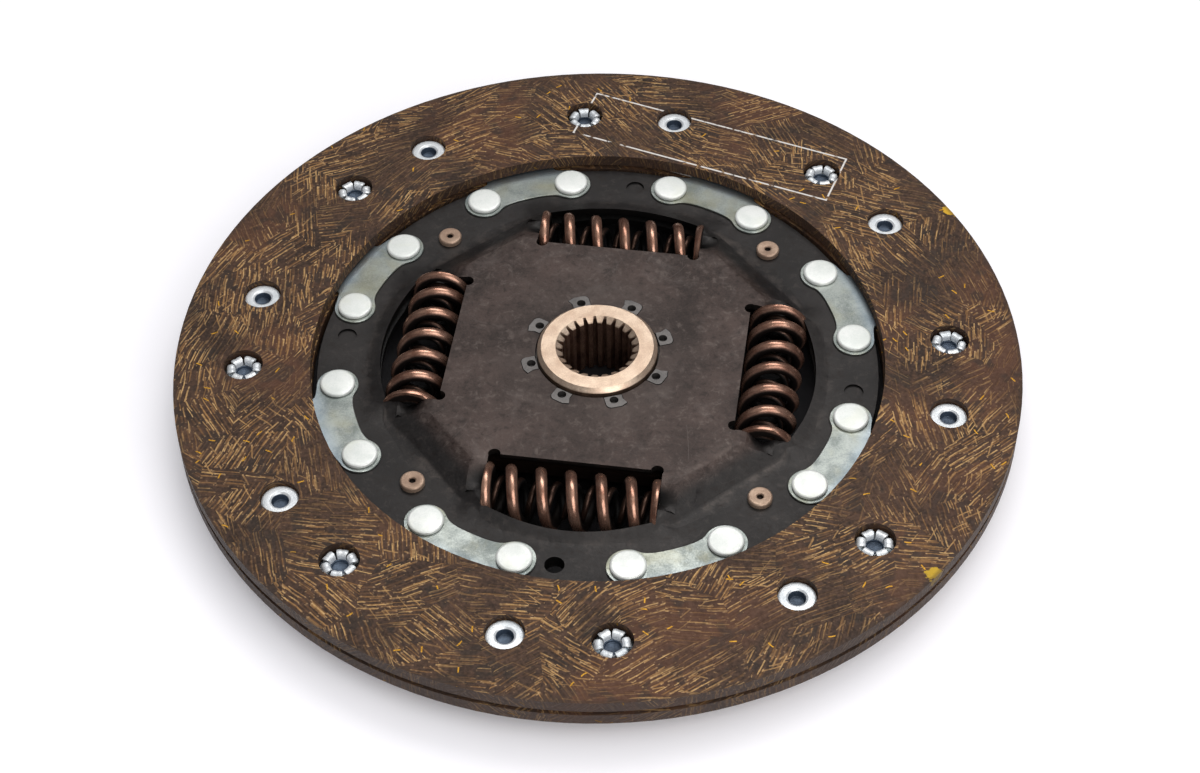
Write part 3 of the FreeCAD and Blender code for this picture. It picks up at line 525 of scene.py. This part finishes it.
def hub_paint(t, place):
    """Copper flash: a turned end face, a wall painted darker as shade, a darker bore, and a
    flange painted dark as the shade between the plates.
    """
    at = t.split(place)
    radius = t.vector("LENGTH", t.joined(at[0], at[1]), out=1)
    mottle = mottled(t, place, 240.0, 2600.0, 0.4)
    around = t.math("ARCTAN2", at[1], at[0])
    turned = t.noise(t.joined(t.times(radius, 9.0), t.times(around, 0.01), at[2]), 800.0, 2.0)
    face = t.mix(mottle["Value"], rgb(208, 180, 157), rgb(246, 224, 201))
    face = t.mix(t.times(t.band(turned, 0.4, 0.6), 0.25), face, rgb(190, 160, 138))
    bore = t.mix(mottle["Value"], rgb(92, 68, 57), rgb(156, 122, 104))
    # painted shade: the hub's wall below its end face is painted darker
    wall = t.mix(mottle["Value"], rgb(96, 78, 66), rgb(140, 114, 96))
    inside = t.times(
        t.band(radius, 0.0113, 0.01145, 1.0, 0.0), t.band(at[2], 0.0186, 0.0189, 1.0, 0.0))
    level = t.band(at[2], 0.0186, 0.0192)
    colour = t.mix(level, wall, face)
    # painted shade: the flange, which lies between the plates, is painted dark
    flange = t.band(radius, 0.0166, 0.0172)
    colour = t.mix(flange, t.mix(inside, colour, bore), rgb(52, 38, 32))
    feeds = {
        "Base Color": colour, "Metallic": 0.8,
        "Roughness": t.band(mottle["Fine"], 0.3, 0.7, 0.3, 0.45),
    }
    return feeds, (t.plus(mottle["Fine"], turned), HAIR)


def moulded_paint(t, place):
    """Grey moulding, with painted shade: near black on its upright walls."""
    mottle = mottled(t, place, 180.0, 2200.0, 0.4)
    colour = t.mix(mottle["Value"], rgb(84, 81, 79), rgb(118, 114, 111))
    lines = scratched(t, place, 220.0, 0.02)
    colour = t.mix(t.times(lines, 0.3), colour, rgb(150, 144, 138))
    # painted shade: upright walls, such as those of the lug holes, are painted near black
    upright = t.math("ABSOLUTE", t.split(t.put("NewGeometry", out=1))[2])
    colour = t.mix(t.band(upright, 0.3, 0.6, 0.8, 0.0), colour, rgb(26, 24, 24))
    feeds = {"Base Color": colour, "Roughness": t.band(mottle["Fine"], 0.3, 0.7, 0.4, 0.55)}
    return feeds, (mottle["Fine"], GRAIN)


LINING = material("woven lining", lining_paint)
PLATE = material("phosphated plate", plate_paint)
SEGMENT = material("zinc plated spring sheet", segment_paint)
RIVET = material("zinc plated rivet", zinc_paint(
    rgb(226, 231, 226), rgb(246, 248, 244), 0.4, rgb(232, 235, 222), metallic=0.35))
TUBE = material("zinc plated tube rivet", zinc_paint(
    rgb(222, 228, 232), rgb(246, 249, 251), 0.38, rgb(196, 204, 212), metallic=0.45))
# painted shade: the bores of the tube rivets are painted dark blue-grey
TUBE_BORE_SHADED = material("rivet bore", zinc_paint(
    rgb(52, 62, 76), rgb(88, 102, 120), 0.45, rgb(36, 44, 56), metallic=0.5))
COPPER = material("coppered rivet", zinc_paint(
    rgb(156, 130, 112), rgb(200, 174, 152), 0.42, rgb(134, 108, 92), metallic=0.6))
# painted shade: the centre holes of the plate rivets are painted near black
COPPER_HOLE_SHADED = material("rivet centre hole", zinc_paint(
    rgb(34, 26, 24), rgb(58, 44, 38), 0.6, rgb(28, 22, 20), metallic=0.4))
WIRE = material("lacquered spring wire", wire_paint(
    rgb(22, 14, 11), rgb(152, 107, 89), rgb(202, 160, 139), 0.24))
# painted shade: the inner springs get a much darker copy of the wire, as they lie in the shade of
# the outer springs
INNER_WIRE_SHADED = material("inner spring wire", wire_paint(
    rgb(6, 4, 4), rgb(48, 33, 27), rgb(78, 58, 49), 0.34))
HUB = material("coppered hub", hub_paint)
MOULDED = material("moulded guide ring", moulded_paint)
BLANK = material("blank steel", zinc_paint(
    rgb(96, 96, 98), rgb(136, 136, 138), 0.4, rgb(104, 92, 80)))


# ------------------------------------------------------------------- pieces
def wear(piece, *materials):
    """Gives the piece its materials, the last of them in any slot that is left."""
    slots = piece.data.materials
    while len(slots) < len(materials):
        slots.append(None)
    for number in range(len(slots)):
        slots[number] = materials[min(number, len(materials) - 1)]


def smooth(share):
    """Eases a share from 0 to 1 at both ends."""
    return share * share * (3 - 2 * share)


def polar(radius, turn, height=0.0):
    """A place in metres, from a radius and a height in millimetres."""
    return Vector((radius * math.cos(turn), radius * math.sin(turn), height)) * MM


def welded(node):
    """The solid's own mesh, with its doubled corners joined."""
    bm = bmesh.new()
    bm.from_mesh(nodes[node].data)
    bmesh.ops.remove_doubles(bm, verts=bm.verts, dist=WELD)
    return bm


def sliced(bm, place, normal, **settings):
    everything = bm.verts[:] + bm.edges[:] + bm.faces[:]
    return bmesh.ops.bisect_plane(
        bm, geom=everything, plane_co=place, plane_no=normal, **settings)


def join_rings(bm, rings):
    """Faces between closed rings of vertices, each joined to the next."""
    for low, high in zip(rings, rings[1:]):
        for side in range(len(low)):
            after = (side + 1) % len(low)
            bm.faces.new((low[side], low[after], high[after], high[side]))


def add_piece(name, bm, materials, body, replaced):
    """Puts the form in the scene as a piece that stands for CAD nodes."""
    bmesh.ops.recalc_face_normals(bm, faces=bm.faces)
    mesh = bpy.data.meshes.new(name)
    bm.to_mesh(mesh)
    bm.free()
    if "custom_normal" in mesh.attributes:
        mesh.attributes.remove(mesh.attributes["custom_normal"])
    for polygon in mesh.polygons:
        polygon.use_smooth = True
    mesh.set_sharp_from_angle(angle=SHARP_ANGLE)
    piece = bpy.data.objects.new(name, mesh)
    bpy.context.scene.collection.objects.link(piece)
    wear(piece, *materials)
    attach(piece, body)
    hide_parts(*replaced)
    return piece


def rounded(points, radius, steps=4):
    """The profile with each inner corner rounded by up to the radius."""
    shape = [points[0]]
    for before, corner, after in zip(points, points[1:], points[2:]):
        corner = Vector(corner)
        to_before, to_after = Vector(before) - corner, Vector(after) - corner
        size = min(radius, to_before.length * 0.45, to_after.length * 0.45)
        start = corner + to_before.normalized() * size
        end = corner + to_after.normalized() * size
        for step in range(steps + 1):
            share = step / steps
            bent = start * (1 - share) ** 2 + corner * (2 * share * (1 - share)) + end * share ** 2
            shape.append(tuple(bent))
    shape.append(points[-1])
    return shape


def lathe(bm, profile, sides, to_world, material_of=None):
    """Turns a profile of (radius, height) in millimetres about the local Z axis."""
    rings = []
    for radius, height in profile:
        if radius < 1e-6:
            rings.append([bm.verts.new(to_world @ Vector((0, 0, height * MM)))])
            continue
        ring = []
        for side in range(sides):
            point = polar(radius, 2 * math.pi * side / sides, height)
            ring.append(bm.verts.new(to_world @ point))
        rings.append(ring)
    for number, (low, high) in enumerate(zip(rings, rings[1:])):
        for side in range(sides):
            after = (side + 1) % sides
            if len(low) == 1:
                corners = (low[0], high[after], high[side])
            elif len(high) == 1:
                corners = (low[side], low[after], high[0])
            else:
                corners = (low[side], low[after], high[after], high[side])
            face = bm.faces.new(corners)
            if material_of is not None:
                face.material_index = material_of(number)


def spot(radius, angle, height, flip=False, spin=0.0):
    """Where a rivet stands: its own frame, turned over if it points down."""
    place = Matrix.Translation(polar(radius, math.radians(angle), height))
    upside = Matrix.Rotation(math.pi, 4, "X") if flip else Matrix.Identity(4)
    return place @ upside @ Matrix.Rotation(spin, 4, "Z")


def petal(bm, to_world, middle, chance):
    """One tongue of a split tube end, bent outwards and creased along its middle."""
    thick, points = 0.55, 7
    lift = chance.uniform(-0.08, 0.08)
    reach = chance.uniform(-0.12, 0.1)
    # radius, height and half width along the tongue's top
    line = [
        (2.3, 1.3, 1.1), (2.32, 2.2, 1.12), (2.45, 2.8, 1.16), (2.75, 3.1, 1.26),
        (3.15, 3.22, 1.36), (3.6, 3.2, 1.44), (4.05, 3.1, 1.5), (4.45, 2.88, 1.5),
        (4.72, 2.5, 1.42), (4.78, 2.1, 1.3),
    ]
    rows = []
    for step, (radius, height, half) in enumerate(line):
        share = step / (len(line) - 1)
        before, after = line[max(0, step - 1)], line[min(len(line) - 1, step + 1)]
        slope = Vector((after[0] - before[0], after[1] - before[1])).normalized()
        inward = Vector((slope.y, -slope.x))
        row = []
        for layer in (0.0, thick):
            for part in range(points):
                side = part / 3 - 1
                crease = 0.16 * (1 - abs(side)) ** 2 * min(1, step / 4) + 0.12 * abs(side) ** 3
                nudge = chance.uniform(-0.03, 0.03) if step > 4 else 0
                depth = layer + crease + nudge
                r = radius + reach * share + inward.x * depth
                z = height + lift * share + inward.y * depth
                sideways = min(half, r * 0.5) * side
                ahead = math.sqrt(max(0.01, r * r - sideways * sideways * 0.5))
                local = Matrix.Rotation(middle, 4, "Z") @ (Vector((ahead, sideways, z)) * MM)
                row.append(bm.verts.new(to_world @ local))
        rows.append(row)
    join_rings(bm, [row[:points] + row[points:][::-1] for row in rows])
    for row in (rows[0], rows[-1]):
        for number in range(points - 1):
            under = points + number
            bm.faces.new((row[number], row[number + 1], row[under + 1], row[under]))


def lining_rivets(name, first_angle, flip, node, seed):
    """Eight tubular rivets: an eyed head at one end, a rolled star at the other."""
    chance = random.Random(seed)
    bm = bmesh.new()
    head = rounded(
        [
            (0, -0.42), (1.95, -0.5), (2.1, -1.2), (2.15, -2.2), (2.75, -2.74), (4.5, -2.66),
            (4.9, -2.4), (4.87, -2.17), (2.65, -2.15), (2.65, 1.2), (2.1, 1.3), (2.1, 0.5),
            (0, 0.4),
        ], 0.2, 3)
    # the faces inside the bore take the bore's painted shade
    in_bore = [max(low[0], high[0]) < 2.5 for low, high in zip(head, head[1:])]
    for number in range(8):
        angle = first_angle - 45 * number
        place = spot(FACING_RIVETS, angle, CUSHION_MIDDLE, flip, chance.uniform(0, 6.28))
        lathe(bm, head, 40, place, lambda step: int(in_bore[step]))
        for tongue in range(6):
            petal(bm, place, math.radians(60 * tongue + chance.uniform(-3, 3)), chance)
    add_piece(name, bm, (TUBE, TUBE_BORE_SHADED), "disc", (node,))


def foot_rivets():
    """Two solid rivets in each segment's foot."""
    bm = bmesh.new()
    chance = random.Random(5)
    stack = 4.6
    profile = rounded(
        [
            (0, -stack - 1.1), (3.5, -stack - 1.1), (4.1, -stack - 0.5), (4.1, -stack),
            (2.5, -stack), (2.5, 0.0), (4.62, 0.02), (4.72, 0.35), (4.7, 0.95), (4.25, 1.2),
            (0, 1.25),
        ], 0.28)
    for sign in (-1, 1):
        for number in range(8):
            angle = SEGMENT_ANGLE + sign * SEGMENT_SPREAD - 45 * number
            place = spot(SEGMENT_RIVETS, angle, FOOT_TOP, spin=chance.uniform(0, 6.28))
            lathe(bm, profile, 48, place)
    add_piece("segment_rivet_heads", bm, (RIVET,), "disc", ("segment_rivets",))


def short_rivets():
    """Four rivets with a centre hole that hold the plates."""
    bm = bmesh.new()
    stack = 4.0
    profile = rounded(
        [
            (0, -stack - 1.7), (2.9, -stack - 1.7), (3.25, -stack - 1.3), (3.25, -stack),
            (2.0, -stack), (2.0, 0.0), (3.2, 0.02), (3.25, 1.35), (2.95, 1.68), (1.0, 1.62),
            (0.8, 1.3), (0.72, 0.25), (0, 0.15),
        ], 0.2)
    # the faces of the centre hole take its painted shade
    hole = len(profile) - 8
    for number in range(4):
        place = spot(PLATE_RIVETS, PLATE_RIVET_ANGLE - 90 * number, FLANGE_TOP)
        lathe(bm, profile, 40, place, lambda step: int(step >= hole))
    add_piece(
        "plate_rivet_heads", bm, (COPPER, COPPER_HOLE_SHADED), "disc", ("plate_rivets",))


def coil(kind, number, radius, wire, turns, hand, first_top, paint, steps=44, sides=14):
    """A compression spring lying in its window. Its end turns are closed and ground flat.
    first_top is how many turns from its start the wire first passes over the top."""
    node = f"{kind}_{number}"
    name = "coil_" + node
    angle = math.radians(WINDOW_ANGLE - 90 * (number - 1))
    closed, eased = 0.05, 0.865
    count = int(turns * steps)
    along, reach = 0.0, []
    for step in range(count + 1):
        from_end = min(step, count - step) * turns / count
        share = min(1.0, max(0.0, (from_end - closed) / eased))
        along += smooth(share)
        reach.append(along)
    line = []
    for step in range(count + 1):
        share = (reach[step] - reach[0]) / (reach[-1] - reach[0])
        turn = math.pi / 2 + hand * (turns * step / count - first_top) * 2 * math.pi
        line.append(Vector((
            radius * math.cos(turn), (2 * share - 1) * (HALF_LENGTH - wire * 0.1),
            radius * math.sin(turn))))
    bm = bmesh.new()
    crown = bm.verts.layers.float.new("crown")
    rings = []
    for step, point in enumerate(line):
        before, after = line[max(0, step - 1)], line[min(count, step + 1)]
        tangent = (after - before).normalized()
        outward = Vector((point.x, 0, point.z)).normalized()
        across = tangent.cross(outward).normalized()
        outward = across.cross(tangent)
        ring = []
        for side in range(sides):
            turn = 2 * math.pi * side / sides
            skin = point + (outward * math.cos(turn) + across * math.sin(turn)) * wire
            skin.y = max(-HALF_LENGTH, min(HALF_LENGTH, skin.y))
            vert = bm.verts.new(skin)
            # crown is 1 on the outside of a turn and 0 on its inside, where the wire's paint puts
            # painted shade
            vert[crown] = 0.5 + 0.5 * math.cos(turn)
            ring.append(vert)
        rings.append(ring)
    join_rings(bm, rings)
    bm.faces.new(rings[0][::-1])
    bm.faces.new(rings[-1])
    place = (Matrix.Rotation(angle, 4, "Z")
             @ Matrix.Translation(Vector((SPRING_CIRCLE, 0, MEETING)) * MM) @ Matrix.Scale(MM, 4))
    bmesh.ops.transform(bm, matrix=place, verts=bm.verts)
    piece = add_piece(name, bm, (paint,), "disc", (node,))
    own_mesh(piece)


def in_window(v):
    """Where a point of a plate lies: which side of the meeting plane and how far from it, out
    from the axis and along the nearest window, and that window's angle."""
    up = 1 if v.co.z > MEETING * MM else -1
    height = up * (v.co.z / MM - MEETING)
    radius = v.co.xy.length / MM
    around = math.atan2(v.co.y, v.co.x)
    turn = math.radians((math.degrees(around) - WINDOW_ANGLE + 45) % 90 - 45)
    return up, height, radius * math.cos(turn), radius * math.sin(turn), around - turn


def dent_tabs(bm):
    """Brings the tabs past a window's ends level with the metal round them, and dents them
    smoothly down to the spring."""
    # hollow notes how deep each tab is dented and flush where a tab lies level with the metal round
    # it; the plate's paint puts painted shade in the dents and keeps it off the flush walls
    hollow = bm.verts.layers.float.new("hollow")
    flush = bm.verts.layers.float.new("flush")
    tabs, rims = {}, {}
    for v in bm.verts:
        up, height, out, along, axis = in_window(v)
        far = abs(along)
        if not (TAB_INNER < out < TAB_OUTER and HALF_LENGTH < far < TAB_END):
            continue
        v[flush] = float(far > WINDOW_END + 0.15)
        key = up, along > 0, round(axis, 2)
        if abs(height - TAB_HEIGHT) < 0.1:
            tabs.setdefault(key, []).append((v, height, out, far))
        elif v.normal.z * up > 0.15 and (
                out < TAB_INNER + 0.2 or out > TAB_OUTER - 0.2 or far > TAB_END - 0.15):
            rims.setdefault(key, []).append((height, out, far))
    for key, tab in tabs.items():
        for v, height, out, far in tab:
            near = [(1.0 / (0.02 + (out - rim_out) ** 2 + (far - rim_far) ** 2), rim_height)
                    for rim_height, rim_out, rim_far in rims.get(key, ())]
            if not near:
                continue
            level = sum(weight * h for weight, h in near) / sum(weight for weight, h in near)
            side = max(0.0, 1.0 - ((out - TAB_MIDDLE) / TAB_HALF_WIDTH) ** 2)
            depth = side * side * max(0.0, 1.0 - (far - WINDOW_END) / TAB_LENGTH) ** 1.3
            v.co.z += key[0] * (level - 0.01 - DENT_DEPTH * depth - height) * MM
            v[hollow] = min(1.0, depth * 1.6)


def shape_window(v):
    """Curves the outer edge of a plate's window in toward its ends, and lifts its lip. What lies
    between the lip's start and the edge moves with it, and so does a band outside the edge."""
    up, height, out, along, axis = in_window(v)
    along = abs(along)
    if (out <= LIP_START or along >= CURVE_REACH or height <= 0.3
            or v.co.xy.length / MM >= LIP_LIMIT):
        return
    far = min(WINDOW_END, along)
    edge = max(math.sqrt(CUT_RADIUS ** 2 - far ** 2), CUT_FLAT)
    far = (far / WINDOW_END) ** 2
    if out < edge:
        near = (out - LIP_START) / (edge - LIP_START)
    else:
        near = max(0.0, (edge + CURVE_FADE - out) / CURVE_FADE)
    near = smooth(near) * smooth(min(1.0, (CURVE_REACH - along) / (CURVE_REACH - WINDOW_END)))
    shift = near * (edge - CURVE_MIDDLE + CURVE_DROP * far)
    v.co.x -= math.cos(axis) * shift * MM
    v.co.y -= math.sin(axis) * shift * MM
    v.co.z += up * (SKIRT_SLOPE * shift + near * (0.3 + 0.4 * far)) * MM


def slice_plate(bm):
    """Cuts the plate's faces into a square mesh, in line with its windows."""
    turned = Matrix.Rotation(math.radians(WINDOW_ANGLE), 3, "Z")
    for axis in (0, 1):
        normal = turned @ Vector((1 - axis, axis, 0))
        for line in range(-FOLD_LINES, FOLD_LINES + 1):
            sliced(bm, normal * (FOLD_STEP * MM * line + 0.0003), normal, dist=1e-7)


def round_folds(bm):
    """Relaxes the level faces away from their rims, and notes how far each point moved."""
    layer = bm.verts.layers.float.new("worn")
    level = [v for v in bm.verts if 0.021 < v.co.xy.length < 0.066
             and all(abs(face.normal.z) > 0.6 for face in v.link_faces)]
    held = set(bm.verts) - set(level)
    rim = KDTree(len(held))
    for number, v in enumerate(held):
        rim.insert(v.co, number)
    rim.balance()
    ease = {}
    for v in level:
        gap = rim.find(v.co)[2] / MM
        ease[v] = 0.55 * smooth(max(0.0, min(1.0, (gap - 0.8) / 2.8)))
    first = {v: v.co.z for v in level}
    for _ in range(FOLD_ROUNDS):
        heights = {}
        for v in level:
            around = [edge.other_vert(v) for edge in v.link_edges]
            weights = [1.0 / max(1e-4, (other.co.xy - v.co.xy).length) for other in around]
            total = sum(weights)
            heights[v] = sum(w * other.co.z for w, other in zip(weights, around)) / total
        for v, height in heights.items():
            v.co.z += (height - v.co.z) * ease[v]
    for v in level:
        v[layer] = min(1.0, abs(v.co.z - first[v]) / (WORN_FULLY * MM))


def soft_plate(name, node):
    """A pressed plate with rounded folds, dented tabs and curved windows."""
    bm = welded(node)
    slice_plate(bm)
    bm.normal_update()
    round_folds(bm)
    bm.normal_update()
    dent_tabs(bm)
    for v in bm.verts:
        shape_window(v)
    add_piece(name, bm, (PLATE,), "disc", (node,))


def foot_outline():
    """Half the edge of a segment's foot, from its root round the lobe to its waist. Each point
    is given along and across the segment, from the hub's axis."""
    middle = math.radians(SEGMENT_SPREAD)
    lobe = Vector((SEGMENT_RIVETS * math.cos(middle), SEGMENT_RIVETS * math.sin(middle)))
    edge = [Vector((80.7, 10.4)), Vector((77.4, 9.9)), Vector((76.3, 10.35)), Vector((75.75, 11.5))]
    for step in range(25):
        turn = math.radians(12 + (226 - 12) * step / 24)
        edge.append(lobe + Vector((math.cos(turn), math.sin(turn))) * LOBE_RADIUS)
    start, end = edge[-1], Vector((67.1, 0.0))
    near, far = start + Vector((1.7, -1.6)), Vector((67.1, 3.2))
    for step in range(1, 9):
        share = step / 8
        rest = 1 - share
        edge.append(
            start * rest ** 3 + near * (3 * rest * rest * share)
            + far * (3 * rest * share * share) + end * share ** 3)
    return edge


def segment(number):
    """A cushion segment: the waved blade of its solid on a foot with round lobes."""
    node = f"cushion_segment_{number}"
    turned = Matrix.Rotation(math.radians(SEGMENT_ANGLE - 45 * (number - 1)), 4, "Z")
    bm = welded(node)
    ahead = turned @ Vector((1, 0, 0))
    cut = sliced(bm, ahead * BLADE_START * MM, ahead, clear_inner=True)["geom_cut"]
    bmesh.ops.holes_fill(bm, edges=[part for part in cut if isinstance(part, bmesh.types.BMEdge)])
    half = foot_outline()
    edge = half + [Vector((point.x, -point.y)) for point in half[-2::-1]]
    inset = []
    for before, point, after in zip(edge[-1:] + edge[:-1], edge, edge[1:] + edge[:1]):
        way = (after - before).normalized()
        inset.append(point + Vector((-way.y, way.x)) * FOOT_BEVEL)
    rings = []
    for line, height in zip((inset, edge, edge, inset), FOOT_HEIGHTS):
        places = [turned @ (Vector((point.x, point.y, height)) * MM) for point in line]
        rings.append([bm.verts.new(place) for place in places])
    join_rings(bm, rings)
    caps = [bm.faces.new(rings[0][::-1]), bm.faces.new(rings[-1])]
    bmesh.ops.triangulate(bm, faces=caps)
    add_piece(f"waved_segment_{number}", bm, (SEGMENT,), "disc", (node,))


lining_rivets("lining_rivets_upper", PAIR_ANGLE - PAIR_SPREAD, True, "facing_rivets_upper", 11)
lining_rivets("lining_rivets_lower", PAIR_ANGLE + PAIR_SPREAD, False, "facing_rivets_lower", 23)
foot_rivets()
short_rivets()
for window, outer_top, inner_top in (
        (1, 0.26, 0.3), (2, 0.45, 0.6), (3, 0.38, 0.19), (4, 0.3, 0.8)):
    coil("outer_spring", window, 6.65, 1.6, 6.76, -1, outer_top, WIRE)
    coil("inner_spring", window, 4.1, 0.9, 10.38, 1, inner_top, INNER_WIRE_SHADED,
         28, 10)
for number in range(1, 9):
    segment(number)
soft_plate("drive_plate_pressing", "drive_plate")
soft_plate("counter_plate_pressing", "counter_plate")

for look, names in (
        (LINING, ("facing_upper", "facing_lower")),
        (MOULDED, ("guide_ring", "friction_washer", "counter_bush")),
        (BLANK, ("support_washer", "disc_spring")),
        (HUB, ("hub",))):
    for name in names:
        wear(nodes[name], look)


# -------------------------------------------------------------------- stage
def stage_paint(t, place):
    grain = mottled(t, place, 3.0, 60.0, 0.2)
    colour = t.mix(grain["Value"], rgb(238, 237, 240), rgb(243, 242, 245))
    # painted shadow: the floor is painted dark under the disc
    under = t.band(t.vector("LENGTH", place, out=1), 0.074, 0.108, 1.0, 0.0)
    colour = t.mix(under, colour, rgb(46, 45, 47))
    return {"Base Color": colour, "Roughness": 0.75, "Specular IOR Level": 0.2}, None


def add_floor():
    bm = bmesh.new()
    bmesh.ops.create_grid(bm, x_segments=2, y_segments=2, size=3.0)
    mesh = bpy.data.meshes.new("floor")
    bm.to_mesh(mesh)
    bm.free()
    floor = bpy.data.objects.new("floor", mesh)
    floor.location.z = -0.0002
    bpy.context.scene.collection.objects.link(floor)
    made = material("pale floor", stage_paint)
    t = Tree(made.node_tree)
    output = made.node_tree.nodes["Material Output"]
    shader = output.inputs[0].links[0].from_socket
    path = t.put("LightPath", out=None).outputs
    seen = t.math("MAXIMUM", path["Is Glossy Ray"], path["Is Transmission Ray"])
    seen = t.math("MAXIMUM", path["Is Camera Ray"], seen)
    # painted light: away from the disc the floor glows for the camera and in reflections; near the
    # disc it does not, so the disc's shadow stays
    away = t.band(t.vector("LENGTH", t.put("TexCoord", out=3), out=1), 0.1, 0.122, 0.0, 0.26)
    glow = t.put("Emission", {"Color": rgb(250, 250, 253), "Strength": t.times(seen, away)})
    t.feed(output.inputs[0], t.put("AddShader", {0: shader, 1: glow}))
    wear(floor, made)


def add_lamp(name, place, size, power):
    """A slightly warm panel that looks at the middle of the disc."""
    light = bpy.data.lights.new(name, "AREA")
    light.shape = "RECTANGLE"
    light.size, light.size_y = size
    light.energy = power
    light.color = (1.0, 0.985, 0.97)
    lamp = bpy.data.objects.new(name, light)
    lamp.location = place
    lamp.rotation_mode = "QUATERNION"
    lamp.rotation_quaternion = (-Vector(place)).to_track_quat("-Z", "Y")
    bpy.context.scene.collection.objects.link(lamp)


def add_world():
    """Even light from all round, paler high up. Metal sees a dimmer room than the camera does."""
    world = bpy.data.worlds.new("studio")
    world.use_nodes = True
    t = Tree(world.node_tree)
    world.node_tree.nodes.clear()
    path = t.put("LightPath", out=None).outputs
    way = t.split(t.put("TexCoord", out=0))
    sky = t.mix(t.band(way[2], 0.63, 0.83), rgb(112, 112, 114), rgb(255, 254, 250))
    sky = t.mix(t.band(way[0], -0.14, -0.07, 0.7, 0.0), sky, rgb(20, 20, 21))
    low = t.mix(t.band(way[1], -0.7, -0.1), rgb(120, 118, 118), rgb(26, 25, 26))
    sky = t.mix(t.band(way[2], 0.16, 0.5), low, sky)
    shiny = t.mix(path["Is Glossy Ray"], rgb(222, 222, 226), sky)
    colour = t.mix(path["Is Camera Ray"], shiny, rgb(252, 252, 253))
    strength = t.plus(0.8, t.times(path["Is Camera Ray"], 0.2))
    glow = t.put("Background", {"Color": colour, "Strength": strength})
    output = world.node_tree.nodes.new("ShaderNodeOutputWorld")
    t.feed(output.inputs[0], glow)
    bpy.context.scene.world = world


def add_camera():
    """The viewing angle: 48.3 degrees above the disc, slightly rolled."""
    target = Vector((0.57, -12.53, 17.55)) * MM
    raised, roll, distance = math.radians(48.258), math.radians(-0.832), 0.6441
    back = Vector((0.0, -math.cos(raised), math.sin(raised)))
    right = Vector((1.0, 0.0, 0.0))
    up = right.cross(-back)
    across = right * math.cos(roll) + up * math.sin(roll)
    upward = up * math.cos(roll) - right * math.sin(roll)
    data = bpy.data.cameras.new("camera")
    data.sensor_width = 36.0
    data.lens = 72.46
    data.clip_start, data.clip_end = 0.01, 20.0
    camera = bpy.data.objects.new("camera", data)
    turned = Matrix((across, upward, back)).transposed().to_4x4()
    camera.matrix_world = Matrix.Translation(target + back * distance) @ turned
    bpy.context.scene.collection.objects.link(camera)
    bpy.context.scene.camera = camera


add_floor()
add_world()
add_lamp("key", (0.3, 0.75, 1.65), (1.35, 0.75), 9.6)
add_lamp("fill", (0.22, -0.44, 0.42), (0.5, 0.5), 1.75)
add_camera()
bpy.context.scene.view_settings.view_transform = "Standard"
